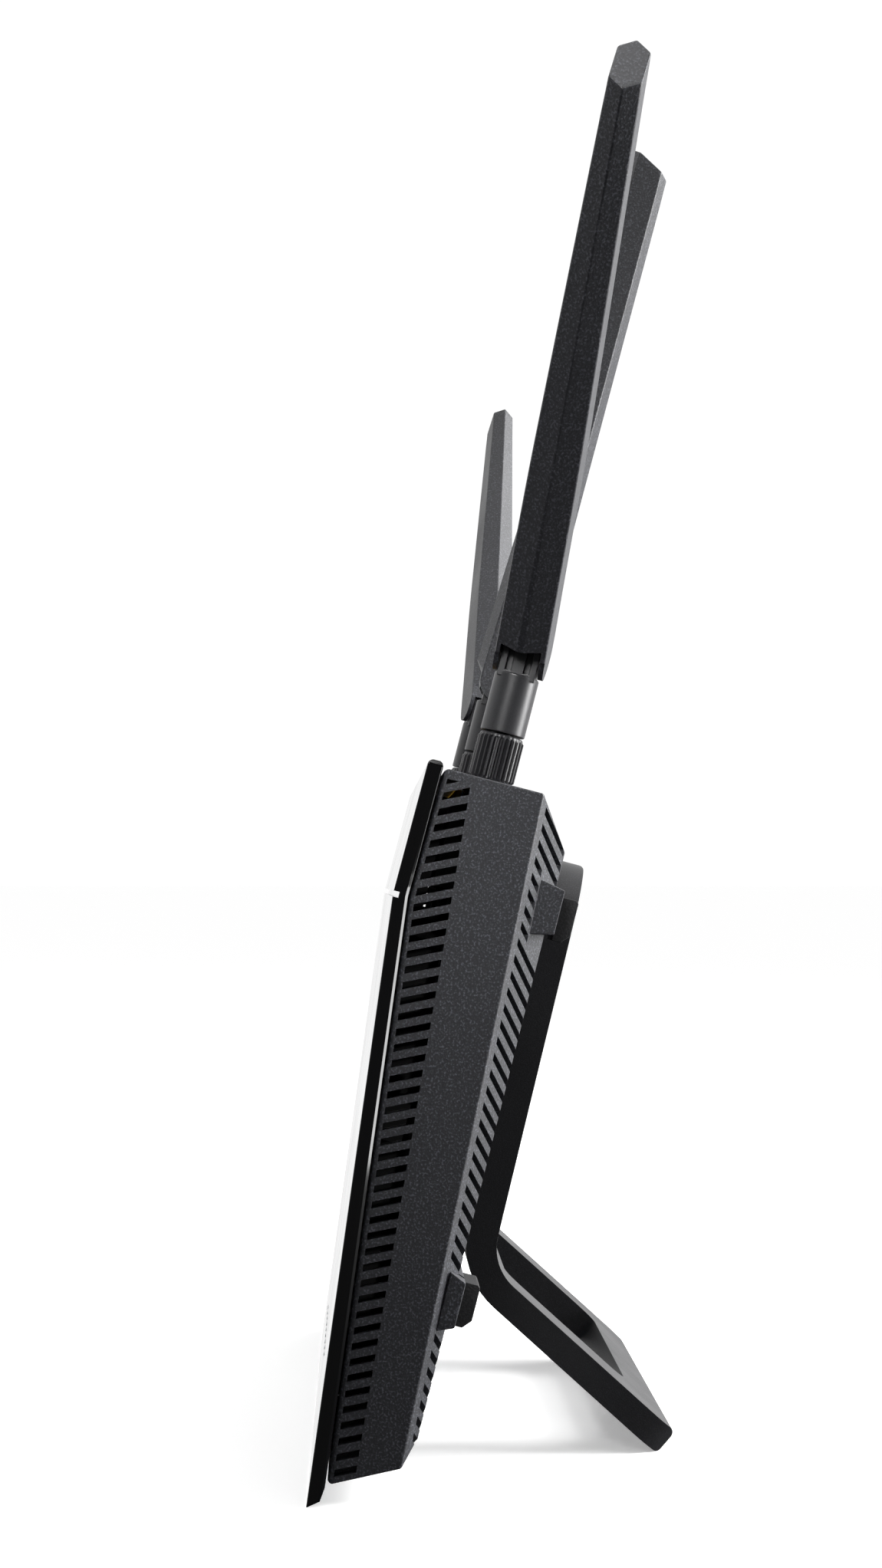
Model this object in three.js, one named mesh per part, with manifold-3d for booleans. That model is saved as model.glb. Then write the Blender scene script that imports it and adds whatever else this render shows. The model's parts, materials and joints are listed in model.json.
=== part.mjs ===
import * as THREE from 'three';
import { mergeVertices } from 'three/addons/utils/BufferGeometryUtils.js';
import Module from 'manifold-3d';

const wasm = await Module();
wasm.setup();

// A desktop wireless router with three folding antennas, leaning back on a bent plate stand.
// Millimetres. The body is modelled upright: x runs across it, y from the front cover (-) to the
// back (+), and z up along it. The whole group is then leaned back and set on the ground.

const LEAN = 14.5; // degrees that the body leans back
const GAP = 0.3; // clearance between neighbouring pieces

// Front cover: its face is flat above a crease and slopes back below it.
const COVER_HALF_WIDTH = 103.5;
const COVER_TOP = 146;
const CREASE = 118.4; // height of the crease
const FACE_UPPER = -24.6; // y of the flat upper face
const COVER_FOOT = { y: -11.2, z: -1.4 }; // lower front edge, which stands on the ground
const COVER_SKIN = 1.9;
const GROOVE = { depth: 1.2, height: 1.2 }; // the groove along the crease

// Joint line between the cover and the case, at the top, at the crease and at the bottom.
const RIM_TOP = { y: -21.4, z: COVER_TOP };
const RIM_CREASE = { y: -21.8, z: 118.5 };
const RIM_BOTTOM = { y: -8.6, z: 3.2 };

// Rear case.
const CASE_HALF_WIDTH = 102;
const CASE_WALL = 2;
const PORTS_TOP = 144.9; // height of the face that holds the sockets
const UNDER_WALL = PORTS_TOP - CASE_WALL - GAP; // just inside that face's wall
const BACK = 6.9; // y of the flat back
const BACK_TOP = 135;
const BACK_BOTTOM = 16;
const EDGE_TOP = -0.9; // y of the corner between side wall and slope, at the top
const EDGE_BOTTOM = { y: 4.95, z: 10.1 }; // the same corner at the bottom
const SLOPE_RUN = 1.6; // the side slopes run in this far for each 1 that they rise

// Vents.
const VENT_HEIGHT = 1.55;
const SIDE_VENTS = { count: 45, pitch: 3.24, tilt: 25.5, top: 151.4 };
const SLOPE_VENTS = { count: 39, pitch: 3.3, top: 141, start: 100.2, run: 9.6, fall: 0.73 };

// Feet.
const FOOT_ROWS = [
  { name: 'upper', z: 122.9, outer: 96.6 },
  { name: 'lower', z: 43.3, outer: 100.2 },
];
const FOOT_BOSS = { inner: 74, height: 9.1, flare: 1.4, top: 8.4 };
const RUBBER = { inner: 76, outer: 89.4, height: 9, drop: 1.2, bottom: 8.7, top: 12.2 };

// Sockets and buttons in the top face, by the x of their centres.
const SOCKET_Y = -10.6;
const LAN_X = [18.7, 35.2, 51.7, 68.2];
const WAN_X = -18.7;
const USB_X = -35.5;
const DC_X = -49.4;
const POWER_X = -59.6;
const RESET_X = -67;
const WPS_X = -74;
const JACK = { width: 15.8, depth: 13.4, length: 20.5 };

// Main board.
const BOARD = { front: -3.4, back: -1.8, bottom: 34, top: 142.2, halfWidth: 95 };
const COMPONENT_FACE = BOARD.front - GAP;

// Antennas.
const ANTENNA_X = { right: 86, centre: 0, left: -86 };
const ANTENNA_Y = -11.2;
const PIVOT = 172.7;
const BLADE = { top: 128.9, bottom: -6, slant: 0.52 };
const FORK_HALF = 4.2; // half the gap between the fork's prongs
const POSES = {
  right: { turn: -7, fold: 43 },
  centre: { turn: 89, fold: 1.5 },
  left: { turn: -170.8, fold: 45 },
};

// Stand: a plate bent between its back panel and its foot.
const STAND_HALF_WIDTH = 57.5;
const PANEL = { front: 9.2, back: 15.8, top: 134.5 };
const FOOT_SLOPE = 27.5; // degrees that the foot falls, measured in the body's upright frame
const FOOT_START = { y: 9.2, z: 43.4 }; // where the foot's underside would meet the panel's front
const FOOT_THICKNESS = 6.1;
const FOOT_TOE = 1.2; // radius of the foot's lower rear edge
const BEND_RADIUS = 17;
const STAND_WINDOW = 41; // half width of the opening in the foot
const HOOK = { x: 48, width: 9, neck: 4, head: 4.5 };
const HOOK_HEIGHTS = [72, 116];
const RELEASE_TRAVEL = 6;

const LOOKS = {
  case: { color: 0x2a2b2e, roughness: 0.62, metalness: 0.0 },
  gloss: { color: 0x0b0b0d, roughness: 0.12, metalness: 0.0 },
  blade: { color: 0x303134, roughness: 0.6, metalness: 0.0 },
  sleeve: { color: 0x232427, roughness: 0.38, metalness: 0.0 },
  stand: { color: 0x17181a, roughness: 0.5, metalness: 0.0 },
  rubber: { color: 0x101012, roughness: 0.85, metalness: 0.0 },
  board: { color: 0x14402c, roughness: 0.5, metalness: 0.0 },
  chip: { color: 0x16171a, roughness: 0.45, metalness: 0.0 },
  jack: { color: 0x1a1b1d, roughness: 0.5, metalness: 0.0 },
  lan: { color: 0xd9a514, roughness: 0.45, metalness: 0.0 },
  wan: { color: 0x1f5fae, roughness: 0.45, metalness: 0.0 },
  steel: { color: 0xb9bcc0, roughness: 0.3, metalness: 1.0 },
  gold: { color: 0xc79a3c, roughness: 0.3, metalness: 1.0 },
  aluminium: { color: 0xa9acb0, roughness: 0.4, metalness: 1.0 },
  guide: { color: 0xd8dde0, roughness: 0.25, metalness: 0.0 },
  wire: { color: 0x3a3b3e, roughness: 0.5, metalness: 0.0 },
  copper: { color: 0xb56a3a, roughness: 0.35, metalness: 1.0 },
};

// Geometry helpers.

const TURN_YZ = new THREE.Matrix4().makeBasis(
  new THREE.Vector3(0, 1, 0),
  new THREE.Vector3(0, 0, 1),
  new THREE.Vector3(1, 0, 0),
);
const TURN_XZ = new THREE.Matrix4().makeBasis(
  new THREE.Vector3(1, 0, 0),
  new THREE.Vector3(0, 0, 1),
  new THREE.Vector3(0, -1, 0),
);

function solid(geometry) {
  const bare = geometry.clone();
  bare.deleteAttribute('normal');
  bare.deleteAttribute('uv');
  const merged = mergeVertices(bare, 1e-4);
  return new wasm.Manifold(new wasm.Mesh({
    numProp: 3,
    vertProperties: merged.attributes.position.array,
    triVerts: new Uint32Array(merged.index.array),
  }));
}

function geometryOf(manifold) {
  const mesh = manifold.getMesh();
  const geometry = new THREE.BufferGeometry();
  geometry.setAttribute('position', new THREE.BufferAttribute(mesh.vertProperties, mesh.numProp));
  geometry.setIndex(new THREE.BufferAttribute(mesh.triVerts, 1));
  const flat = geometry.toNonIndexed();
  flat.computeVertexNormals();
  return flat;
}

// The same solid on the other side of the plane x = 0.
function mirrored(manifold) {
  const { numProp, vertProperties, triVerts } = manifold.getMesh();
  const flipped = vertProperties.map((value, index) => (index % numProp === 0 ? -value : value));
  return new wasm.Manifold(new wasm.Mesh({
    numProp,
    vertProperties: flipped,
    triVerts: triVerts.toReversed(),
  }));
}

function join(...solids) {
  return solids.reduce((whole, piece) => whole.add(piece));
}

function block(x0, x1, y0, y1, z0, z1) {
  const box = new THREE.BoxGeometry(x1 - x0, y1 - y0, z1 - z0);
  box.translate((x0 + x1) / 2, (y0 + y1) / 2, (z0 + z1) / 2);
  return solid(box);
}

// An outline of [u, v] or [u, v, radius] corners; a corner with a radius is rounded by an arc.
function outline(corners) {
  const shape = new THREE.Shape();
  corners.forEach(([u, v, radius = 0], index) => {
    const before = corners.at(index - 1);
    const after = corners[(index + 1) % corners.length];
    const corner = new THREE.Vector2(u, v);
    const inward = new THREE.Vector2(before[0], before[1]).sub(corner).normalize();
    const onward = new THREE.Vector2(after[0], after[1]).sub(corner).normalize();
    const place = index === 0 ? 'moveTo' : 'lineTo';
    if (radius === 0) {
      shape[place](u, v);
      return;
    }
    const halfAngle = Math.acos(inward.dot(onward)) / 2;
    const start = corner.clone().addScaledVector(inward, radius / Math.tan(halfAngle));
    const middle = inward.clone().add(onward).normalize();
    const centre = corner.clone().addScaledVector(middle, radius / Math.sin(halfAngle));
    const end = corner.clone().addScaledVector(onward, radius / Math.tan(halfAngle));
    const from = start.clone().sub(centre).angle();
    const to = end.clone().sub(centre).angle();
    const clockwise = inward.cross(onward) > 0;
    shape[place](start.x, start.y);
    shape.absarc(centre.x, centre.y, radius, from, to, clockwise);
  });
  return shape;
}

function extrude(shape, depth, curveSegments = 6) {
  return new THREE.ExtrudeGeometry(shape, { depth, curveSegments, bevelEnabled: false });
}

// A prism whose outline is drawn in (y, z) and which runs along x.
function prismX(corners, x0, x1, curveSegments) {
  const geometry = extrude(outline(corners), x1 - x0, curveSegments);
  return solid(geometry.applyMatrix4(TURN_YZ).translate(x0, 0, 0));
}

// A prism whose outline is drawn in (x, z) and which runs along y.
function prismY(corners, y0, y1, curveSegments) {
  const geometry = extrude(outline(corners), y1 - y0, curveSegments);
  return solid(geometry.applyMatrix4(TURN_XZ).translate(0, y1, 0));
}

// A prism whose outline is drawn in (x, y) and which runs along z.
function prismZ(corners, z0, z1, curveSegments) {
  return solid(extrude(outline(corners), z1 - z0, curveSegments).translate(0, 0, z0));
}

function roundedBox(u0, u1, v0, v1, radius) {
  return [[u0, v0, radius], [u1, v0, radius], [u1, v1, radius], [u0, v1, radius]];
}

// A piece turned about a vertical axis, from [radius, height] points that start and end on the axis.
function turned(points, segments, x = 0, y = 0) {
  const profile = points.map(([radius, height]) => new THREE.Vector2(radius, height));
  return solid(new THREE.LatheGeometry(profile, segments).rotateX(Math.PI / 2).translate(x, y, 0));
}

function rod(radius, z0, z1, segments, x = 0, y = 0) {
  return turned([[0, z0], [radius, z0], [radius, z1], [0, z1]], segments, x, y);
}

function rodAlongY(radius, x, y0, y1, z, segments = 20) {
  const cylinder = new THREE.CylinderGeometry(radius, radius, y1 - y0, segments);
  return solid(cylinder.translate(x, (y0 + y1) / 2, z));
}

function lineAt(from, to, z) {
  return from.y + (to.y - from.y) * (z - from.z) / (to.z - from.z);
}

const CREASE_FACE = { y: FACE_UPPER - 0.2, z: CREASE };

function frontAt(z) {
  return z > CREASE ? FACE_UPPER : lineAt(CREASE_FACE, COVER_FOOT, z);
}

function rimAt(z) {
  return z > RIM_CREASE.z ? lineAt(RIM_TOP, RIM_CREASE, z) : lineAt(RIM_CREASE, RIM_BOTTOM, z);
}

const EDGE_LEAN = (EDGE_BOTTOM.y - EDGE_TOP) / (EDGE_BOTTOM.z - PORTS_TOP);

function edgeAt(z) {
  return EDGE_TOP + EDGE_LEAN * (z - PORTS_TOP);
}

// The scene graph.

const router = new THREE.Group();
const body = new THREE.Group();
body.rotation.x = THREE.MathUtils.degToRad(-LEAN);
router.add(body);

function addMesh(name, manifold, look, parent = body) {
  const mesh = new THREE.Mesh(geometryOf(manifold), new THREE.MeshStandardMaterial(LOOKS[look]));
  mesh.name = name;
  parent.add(mesh);
  return mesh;
}

// Front cover.

const COVER_CORNER = 1.2;
const LED_X = [-32, -24, -16, -8, 0, 8, 16, 24, 32];
const LED_Z = 16;
const LED_WINDOW = { width: 3.4, height: 1.3 };
const POSTS = [[66, 112], [-66, 112], [80, 20], [-80, 20]];
const POST_RADIUS = 3.2;
const SCREW_BORE = { radius: 1.55, front: -6.4 };
const TAB = { height: 75, half: 4, thickness: 1.6, reach: 9 };
const POCKET = { border: 4.5, bottom: 10, behind: 3 };
// Two upright ribs stiffen the cover: they reach the board, and stop short of the sockets above it.
const RIBS = { x: 59.7, half: 0.7, bottom: 14, step: 117, top: 141 };

function coverBlank() {
  return prismX([
    [FACE_UPPER, COVER_TOP, 0.8],
    [CREASE_FACE.y, CREASE_FACE.z],
    [COVER_FOOT.y, COVER_FOOT.z],
    [-8.9, 0.4, 1.2],
    [RIM_BOTTOM.y, RIM_BOTTOM.z],
    [RIM_CREASE.y, RIM_CREASE.z],
    [RIM_TOP.y, RIM_TOP.z],
  ], -COVER_HALF_WIDTH, COVER_HALF_WIDTH);
}

function coverPocket() {
  const { border, bottom, behind } = POCKET;
  const top = COVER_TOP - border;
  return prismX([
    [FACE_UPPER + COVER_SKIN, top],
    [CREASE_FACE.y + COVER_SKIN, CREASE],
    [frontAt(bottom) + COVER_SKIN, bottom],
    [rimAt(bottom) + behind, bottom],
    [RIM_CREASE.y + behind, CREASE],
    [RIM_TOP.y + behind, top],
  ], border - COVER_HALF_WIDTH, COVER_HALF_WIDTH - border);
}

function screwPost([x, z]) {
  const post = rodAlongY(POST_RADIUS, x, frontAt(z) + 1, BACK - CASE_WALL - GAP, z, 12);
  return post.subtract(rodAlongY(SCREW_BORE.radius, x, SCREW_BORE.front, BACK, z, 8));
}

// A snap tab on each side, just inside the case's wall.
function snapTabs() {
  const { height, half, thickness, reach } = TAB;
  const outside = CASE_HALF_WIDTH - CASE_WALL - GAP;
  const front = frontAt(height);
  const tab = block(outside - thickness, outside, front + 1, front + reach, height - half, height + half);
  return [tab, mirrored(tab)];
}

function stiffeningRibs() {
  const { x, half, bottom, step, top } = RIBS;
  const inside = FACE_UPPER + 1;
  const beforeBoard = BOARD.front - GAP;
  const beforeSockets = COMPONENT_FACE - JACK.depth - GAP;
  const rib = prismX([
    [inside, top],
    [inside, CREASE],
    [frontAt(bottom) + 1, bottom],
    [beforeBoard, bottom],
    [beforeBoard, step],
    [beforeSockets, step],
    [beforeSockets, top],
  ], x - half, x + half);
  return [rib, mirrored(rib)];
}

function frontCover() {
  const corner = roundedBox(-COVER_HALF_WIDTH, COVER_HALF_WIDTH, -6, COVER_TOP, COVER_CORNER);
  corner[0].pop();
  corner[1].pop();
  let cover = coverBlank().intersect(prismY(corner, -40, 10));
  cover = cover.subtract(coverPocket());
  const face = frontAt(LED_Z);
  for (const x of LED_X) {
    const half = { width: LED_WINDOW.width / 2, height: LED_WINDOW.height / 2 };
    cover = cover.subtract(block(x - half.width, x + half.width, face - 2, face + 4,
      LED_Z - half.height, LED_Z + half.height));
  }
  const groove = block(-COVER_HALF_WIDTH - 1, COVER_HALF_WIDTH + 1, CREASE_FACE.y - 1,
    CREASE_FACE.y + GROOVE.depth, CREASE - GROOVE.height / 2, CREASE + GROOVE.height / 2);
  cover = cover.subtract(groove);
  return join(cover, ...POSTS.map(screwPost), ...snapTabs(), ...stiffeningRibs());
}
addMesh('front_cover', frontCover(), 'gloss');

// Light guide: one lens bar with a short light rod for each window.
const GUIDE = { halfWidth: 34.5, front: 4.6, back: 6, half: 1.4, rodHalfHeight: 0.35 };

function lightGuide() {
  const { halfWidth, front, back, half, rodHalfHeight } = GUIDE;
  const face = frontAt(LED_Z);
  const bar = block(-halfWidth, halfWidth, face + front, face + back, LED_Z - half, LED_Z + half);
  const rods = LED_X.map((x) => block(x - half, x + half, face - 0.1, face + back - 1,
    LED_Z - rodHalfHeight, LED_Z + rodHalfHeight));
  return join(bar, ...rods);
}
addMesh('light_guide', lightGuide(), 'guide');

// A strip of board with one lamp behind each light rod.
const LAMP = { half: 1, rise: 0.9, halfHeight: 0.7 };
const LIGHT_BOARD = { halfWidth: 37, thickness: 1.2, halfHeight: 4 };

function lightBoard() {
  const front = frontAt(LED_Z) + GUIDE.back + GAP + LAMP.rise + 0.1;
  const { halfWidth, thickness, halfHeight } = LIGHT_BOARD;
  const lamps = LED_X.map((x) => block(x - LAMP.half, x + LAMP.half, front - LAMP.rise, front + 0.5,
    LED_Z - LAMP.halfHeight, LED_Z + LAMP.halfHeight));
  return join(block(-halfWidth, halfWidth, front, front + thickness, LED_Z - halfHeight, LED_Z + halfHeight),
    ...lamps);
}
addMesh('light_board', lightBoard(), 'board');

// Rear case.

// The case's outer shape, or its hollow when inset by the wall.
function caseBlank(inset) {
  const half = CASE_HALF_WIDTH - inset;
  const open = inset > 0 ? -8 : GAP; // the hollow runs out past the joint line
  const back = BACK - inset;
  const blank = prismX([
    [rimAt(PORTS_TOP) + open, PORTS_TOP - inset],
    [EDGE_TOP, PORTS_TOP - inset],
    [back, BACK_TOP - inset / 2],
    [back, BACK_BOTTOM + inset / 2],
    [EDGE_BOTTOM.y - inset / 2, EDGE_BOTTOM.z + inset],
    [RIM_BOTTOM.y + open, RIM_BOTTOM.z + inset + GAP],
    [RIM_CREASE.y + open, RIM_CREASE.z],
  ], -half, half);
  const wedge = slopeWedge(inset);
  return blank.subtract(wedge).subtract(mirrored(wedge));
}

// What the sloping flank leaves out: a triangle in (x, y) swept along the flank's leaning edge.
function slopeWedge(inset) {
  const start = CASE_HALF_WIDTH + 8;
  const rise = 20;
  const lift = -inset * 1.18;
  const wedge = extrude(outline([
    [start, (CASE_HALF_WIDTH - start) / SLOPE_RUN + lift],
    [start, rise + lift],
    [CASE_HALF_WIDTH - rise * SLOPE_RUN, rise + lift],
  ]), 180).translate(0, 0, -10);
  const sheared = new THREE.Matrix4().makeShear(0, 0, 0, 0, 0, EDGE_LEAN);
  wedge.applyMatrix4(sheared).translate(0, edgeAt(0), 0);
  return solid(wedge);
}

// Slots through both side walls: slanting bars, trimmed to the band between two lines.
const SIDE_BAND = { margin: 1.4, bottom: { y: -3.2, z: 5 }, top: { y: -15.3, z: 143 } };

function sideVents() {
  const { count, pitch, tilt, top } = SIDE_VENTS;
  const slant = Math.tan(THREE.MathUtils.degToRad(tilt));
  const wall = [CASE_HALF_WIDTH - 3, CASE_HALF_WIDTH + 3];
  const front = -30;
  const bars = [];
  for (let index = 0; index < count; index += 1) {
    const z = top - pitch * index;
    const low = z + front * slant;
    bars.push(prismX([[front, low], [0, z], [0, z + VENT_HEIGHT], [front, low + VENT_HEIGHT]], ...wall));
  }
  const { margin, bottom, top: upper } = SIDE_BAND;
  const band = prismX([
    [rimAt(upper.z) + margin, upper.z],
    [RIM_CREASE.y + margin, RIM_CREASE.z],
    [rimAt(bottom.z) + margin, bottom.z],
    [bottom.y, bottom.z],
    [upper.y, upper.z],
  ], ...wall);
  const right = join(...bars).intersect(band);
  return [right, mirrored(right)];
}

// Slots through both sloping flanks: each starts by the side edge and runs in and down, parallel
// to the hip at the flank's top. Those beside an upper foot boss are short, and a lower boss has none.
function slopeVents() {
  const { count, pitch, top, start, run, fall } = SLOPE_VENTS;
  const [upper, lower] = FOOT_ROWS;
  const cuts = [];
  for (let index = 0; index < count; index += 1) {
    const z = top - pitch * index;
    const besideUpper = z < upper.z + 10 && z > upper.z - 6;
    const besideLower = z < lower.z + 8 && z > lower.z - 6;
    if (besideLower) continue;
    const length = besideUpper ? start - upper.outer - 0.4 : run;
    const inner = start - length;
    const low = z - fall * length;
    const slot = prismY([[start, z], [start, z + VENT_HEIGHT], [inner, low + VENT_HEIGHT], [inner, low]],
      edgeAt(z) - 2.6, BACK + 3);
    cuts.push(slot, mirrored(slot));
  }
  return cuts;
}

// Two columns of level slots in the back, beside the stand.
const BACK_VENTS = { rows: 8, pitch: 6, bottom: 60, height: 2.2, inner: 63, outer: 82 };

function backVents() {
  const { rows, pitch, bottom, height, inner, outer } = BACK_VENTS;
  const cuts = [];
  for (let row = 0; row < rows; row += 1) {
    const z = bottom + row * pitch;
    const slot = block(inner, outer, 0, BACK + 3, z, z + height);
    cuts.push(slot, mirrored(slot));
  }
  return cuts;
}

function footBosses() {
  const { inner, height, flare, top } = FOOT_BOSS;
  const bosses = [];
  for (const { z, outer } of FOOT_ROWS) {
    const z0 = z - height / 2;
    const z1 = z + height / 2;
    const y0 = edgeAt(z) + 1.5;
    const section = [[y0, z0 - flare], [top, z0], [top, z1], [y0, z1 + flare]];
    bosses.push(prismX(section, inner, outer), prismX(section, -outer, -inner));
  }
  return bosses;
}

function socketCutouts() {
  const z0 = PORTS_TOP - 4;
  const z1 = PORTS_TOP + 4;
  const square = (x, width, depth) => block(x - width / 2, x + width / 2,
    SOCKET_Y - depth / 2, SOCKET_Y + depth / 2, z0, z1);
  const round = (x, y, radius) => rod(radius, z0, z1, 16, x, y);
  return [
    ...[WAN_X, ...LAN_X].map((x) => square(x, JACK.width - 1.4, JACK.depth - 1)),
    square(USB_X, 13.8, 6.2),
    round(DC_X, SOCKET_Y, 4.2),
    square(POWER_X, 8, 8),
    round(RESET_X, SOCKET_Y, 1.7),
    square(WPS_X, 6.4, 6.4),
    ...Object.values(ANTENNA_X).map((x) => round(x, ANTENNA_Y, 3.4)),
  ];
}

function hookSlots() {
  const slots = [];
  for (const height of HOOK_HEIGHTS) {
    for (const x of [HOOK.x, -HOOK.x]) {
      slots.push(block(x - HOOK.width / 2 - 0.5, x + HOOK.width / 2 + 0.5, 0, 10,
        height - RELEASE_TRAVEL - 0.5, height + HOOK.neck + GAP));
    }
  }
  return slots;
}

function screwHoles() {
  return POSTS.flatMap(([x, z]) => [
    rodAlongY(1.7, x, 3, 9, z, 10),
    rodAlongY(3.2, x, BACK - 1.3, 9, z, 12),
  ]);
}

function boardStandoffs() {
  const places = [[88, 56], [-88, 56], [88, 104], [-88, 104]];
  return places.map(([x, z]) => rodAlongY(2.4, x, BOARD.back + GAP, BACK - 1, z, 12));
}

function rearCase() {
  let shell = join(caseBlank(0), ...footBosses());
  shell = shell.subtract(caseBlank(CASE_WALL));
  shell = join(shell, ...boardStandoffs());
  const cuts = [
    ...sideVents(),
    ...slopeVents(),
    ...backVents(),
    ...socketCutouts(),
    ...hookSlots(),
    ...screwHoles(),
  ];
  return shell.subtract(join(...cuts));
}
addMesh('rear_case', rearCase(), 'case');

// Rubber feet, one on each boss.
for (const { name, z } of FOOT_ROWS) {
  for (const [side, sign] of [['right', 1], ['left', -1]]) {
    const { inner, outer, height, drop, bottom, top } = RUBBER;
    const z0 = z - drop - height / 2;
    const z1 = z0 + height;
    const section = [
      [bottom, z0],
      [top - 1.6, z0],
      [top, z0 + 1.8],
      [top, z1 - 0.5],
      [top - 0.5, z1],
      [bottom, z1],
    ];
    const from = sign > 0 ? inner : -outer;
    addMesh(`rubber_foot_${name}_${side}`, prismX(section, from, from + outer - inner), 'rubber');
  }
}

// Screws that hold the case to the cover.
function caseScrew(x, z) {
  const head = rodAlongY(2.8, x, BACK - 1, BACK - 0.1, z, 12);
  const shank = rodAlongY(1.25, x, -5.6, BACK - 0.6, z, 8);
  const cross = join(block(x - 1.7, x + 1.7, BACK - 0.6, BACK + 1, z - 0.3, z + 0.3),
    block(x - 0.3, x + 0.3, BACK - 0.6, BACK + 1, z - 1.7, z + 1.7));
  return join(head, shank).subtract(cross);
}
POSTS.forEach(([x, z]) => {
  const name = `case_screw_${z > 60 ? 'upper' : 'lower'}_${x > 0 ? 'right' : 'left'}`;
  addMesh(name, caseScrew(x, z), 'steel');
});

// Main board and what is on it.

function mainBoard() {
  const { front, back, bottom, top, halfWidth } = BOARD;
  let board = block(-halfWidth, halfWidth, front, back, bottom, top);
  for (const [x, z] of POSTS.filter((post) => post[1] > bottom)) {
    board = board.subtract(rodAlongY(POST_RADIUS + 0.5, x, front - 5, back + 5, z, 16));
  }
  return board;
}
addMesh('main_board', mainBoard(), 'board');

// Boxy parts on the board: their reach across and up it, and how far they stand off it.
const BOXY_PARTS = {
  radio_shield_right: { x: [62, 92], z: [62, 100], height: 3.2, look: 'steel' },
  radio_shield_left: { x: [-92, -62], z: [62, 100], height: 3.2, look: 'steel' },
  memory_chip: { x: [20, 33], z: [72, 80], height: 1, look: 'chip' },
  flash_chip: { x: [-34, -22], z: [82, 90], height: 1.4, look: 'chip' },
  lan_transformer: { x: [26, 58], z: [106, 119.5], height: 4, look: 'chip' },
  wan_transformer: { x: [-27, -12], z: [108, 119.5], height: 4, look: 'chip' },
  power_inductor: { x: [-56, -46], z: [101, 111], height: 4.2, look: 'chip' },
};
const HEAT_SINK = { x: [-16, 16], z: [66, 98], height: 8, base: 2, fin: 2, slot: 2.2 };
const CAPACITORS = { left: -38, right: -28, z: 64, radius: 3.4, height: 6.6 };

function onBoard({ x, z, height }) {
  return block(x[0], x[1], COMPONENT_FACE - height, COMPONENT_FACE, z[0], z[1]);
}

function heatSink() {
  const { x, z, height, base, fin, slot } = HEAT_SINK;
  let sink = onBoard(HEAT_SINK);
  for (let from = x[0] + fin + 0.6; from < x[1]; from += fin + slot) {
    sink = sink.subtract(block(from, from + slot, COMPONENT_FACE - height - 1, COMPONENT_FACE - base,
      z[0] - 1, z[1] + 1));
  }
  return sink;
}
addMesh('processor_heat_sink', heatSink(), 'aluminium');
for (const [name, part] of Object.entries(BOXY_PARTS)) addMesh(name, onBoard(part), part.look);
for (const side of ['left', 'right']) {
  const { radius, height, z, [side]: x } = CAPACITORS;
  const can = rodAlongY(radius, x, COMPONENT_FACE - height, COMPONENT_FACE, z, 16);
  addMesh(`filter_capacitor_${side}`, can, 'aluminium');
}

// Network sockets.
function networkJack(x) {
  const { width, depth, length } = JACK;
  const top = UNDER_WALL;
  const y0 = COMPONENT_FACE - depth;
  const shell = block(x - width / 2, x + width / 2, y0, COMPONENT_FACE, top - length, top);
  const hollow = block(x - 5.9, x + 5.9, y0 + 2.2, y0 + 9.6, top - 14, top + 1);
  const key = block(x - 3.1, x + 3.1, y0 + 9, y0 + 12, top - 14, top + 1);
  const lug = block(x - 1.6, x + 1.6, y0 + 11, y0 + 12.7, top - 6, top + 1);
  const contacts = block(x - 4, x + 4, y0 + 1.6, y0 + 3.2, top - 11, top - 3);
  return shell.subtract(join(hollow, key, lug)).add(contacts);
}
addMesh('wan_jack', networkJack(WAN_X), 'wan');
LAN_X.forEach((x, index) => addMesh(`lan_jack_${index + 1}`, networkJack(x), 'lan'));

function usbPort() {
  const top = UNDER_WALL;
  const shell = block(USB_X - 7.2, USB_X + 7.2, SOCKET_Y - 3.6, COMPONENT_FACE, top - 16, top);
  const hollow = block(USB_X - 6.5, USB_X + 6.5, SOCKET_Y - 2.7, SOCKET_Y + 2.7, top - 13, top + 1);
  const tongue = block(USB_X - 5.6, USB_X + 5.6, SOCKET_Y - 2.2, SOCKET_Y - 0.4, top - 14, top - 1);
  return shell.subtract(hollow).add(tongue);
}
addMesh('usb_port', usbPort(), 'steel');

function powerInlet() {
  const top = UNDER_WALL;
  const shell = block(DC_X - 4.5, DC_X + 4.5, SOCKET_Y - 5, COMPONENT_FACE, top - 14, top);
  const hole = rod(3.1, top - 10, top + 1, 16, DC_X, SOCKET_Y);
  const pin = rod(1, top - 11, top - 1, 8, DC_X, SOCKET_Y);
  return shell.subtract(hole).add(pin);
}
addMesh('dc_jack', powerInlet(), 'jack');

// Push buttons: a cap in the top face, with a skirt that keeps it in, and the switch that it presses.
const SKIRT = { reach: 0.9, height: 2 };

function squareButton(x, width, rise) {
  const half = width / 2;
  const cap = block(x - half, x + half, SOCKET_Y - half, SOCKET_Y + half, UNDER_WALL - 1, PORTS_TOP + rise);
  const edge = half + SKIRT.reach;
  const skirt = block(x - edge, x + edge, SOCKET_Y - edge, SOCKET_Y + edge,
    UNDER_WALL - SKIRT.height, UNDER_WALL);
  return join(cap, skirt);
}

function switchBody(x, width) {
  const top = PORTS_TOP - 9.2;
  const half = width / 2;
  const base = block(x - half, x + half, SOCKET_Y - half, COMPONENT_FACE, top - 8, top);
  return join(base, block(x - 1.2, x + 1.2, SOCKET_Y - 1.2, SOCKET_Y + 1.2, top - 1, top + 1.2));
}
addMesh('power_button', squareButton(POWER_X, 7.2, 2), 'jack');
addMesh('power_switch', switchBody(POWER_X, 7), 'chip');
addMesh('wps_button', squareButton(WPS_X, 5.6, 1), 'jack');
addMesh('wps_switch', switchBody(WPS_X, 5.4), 'chip');

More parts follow.
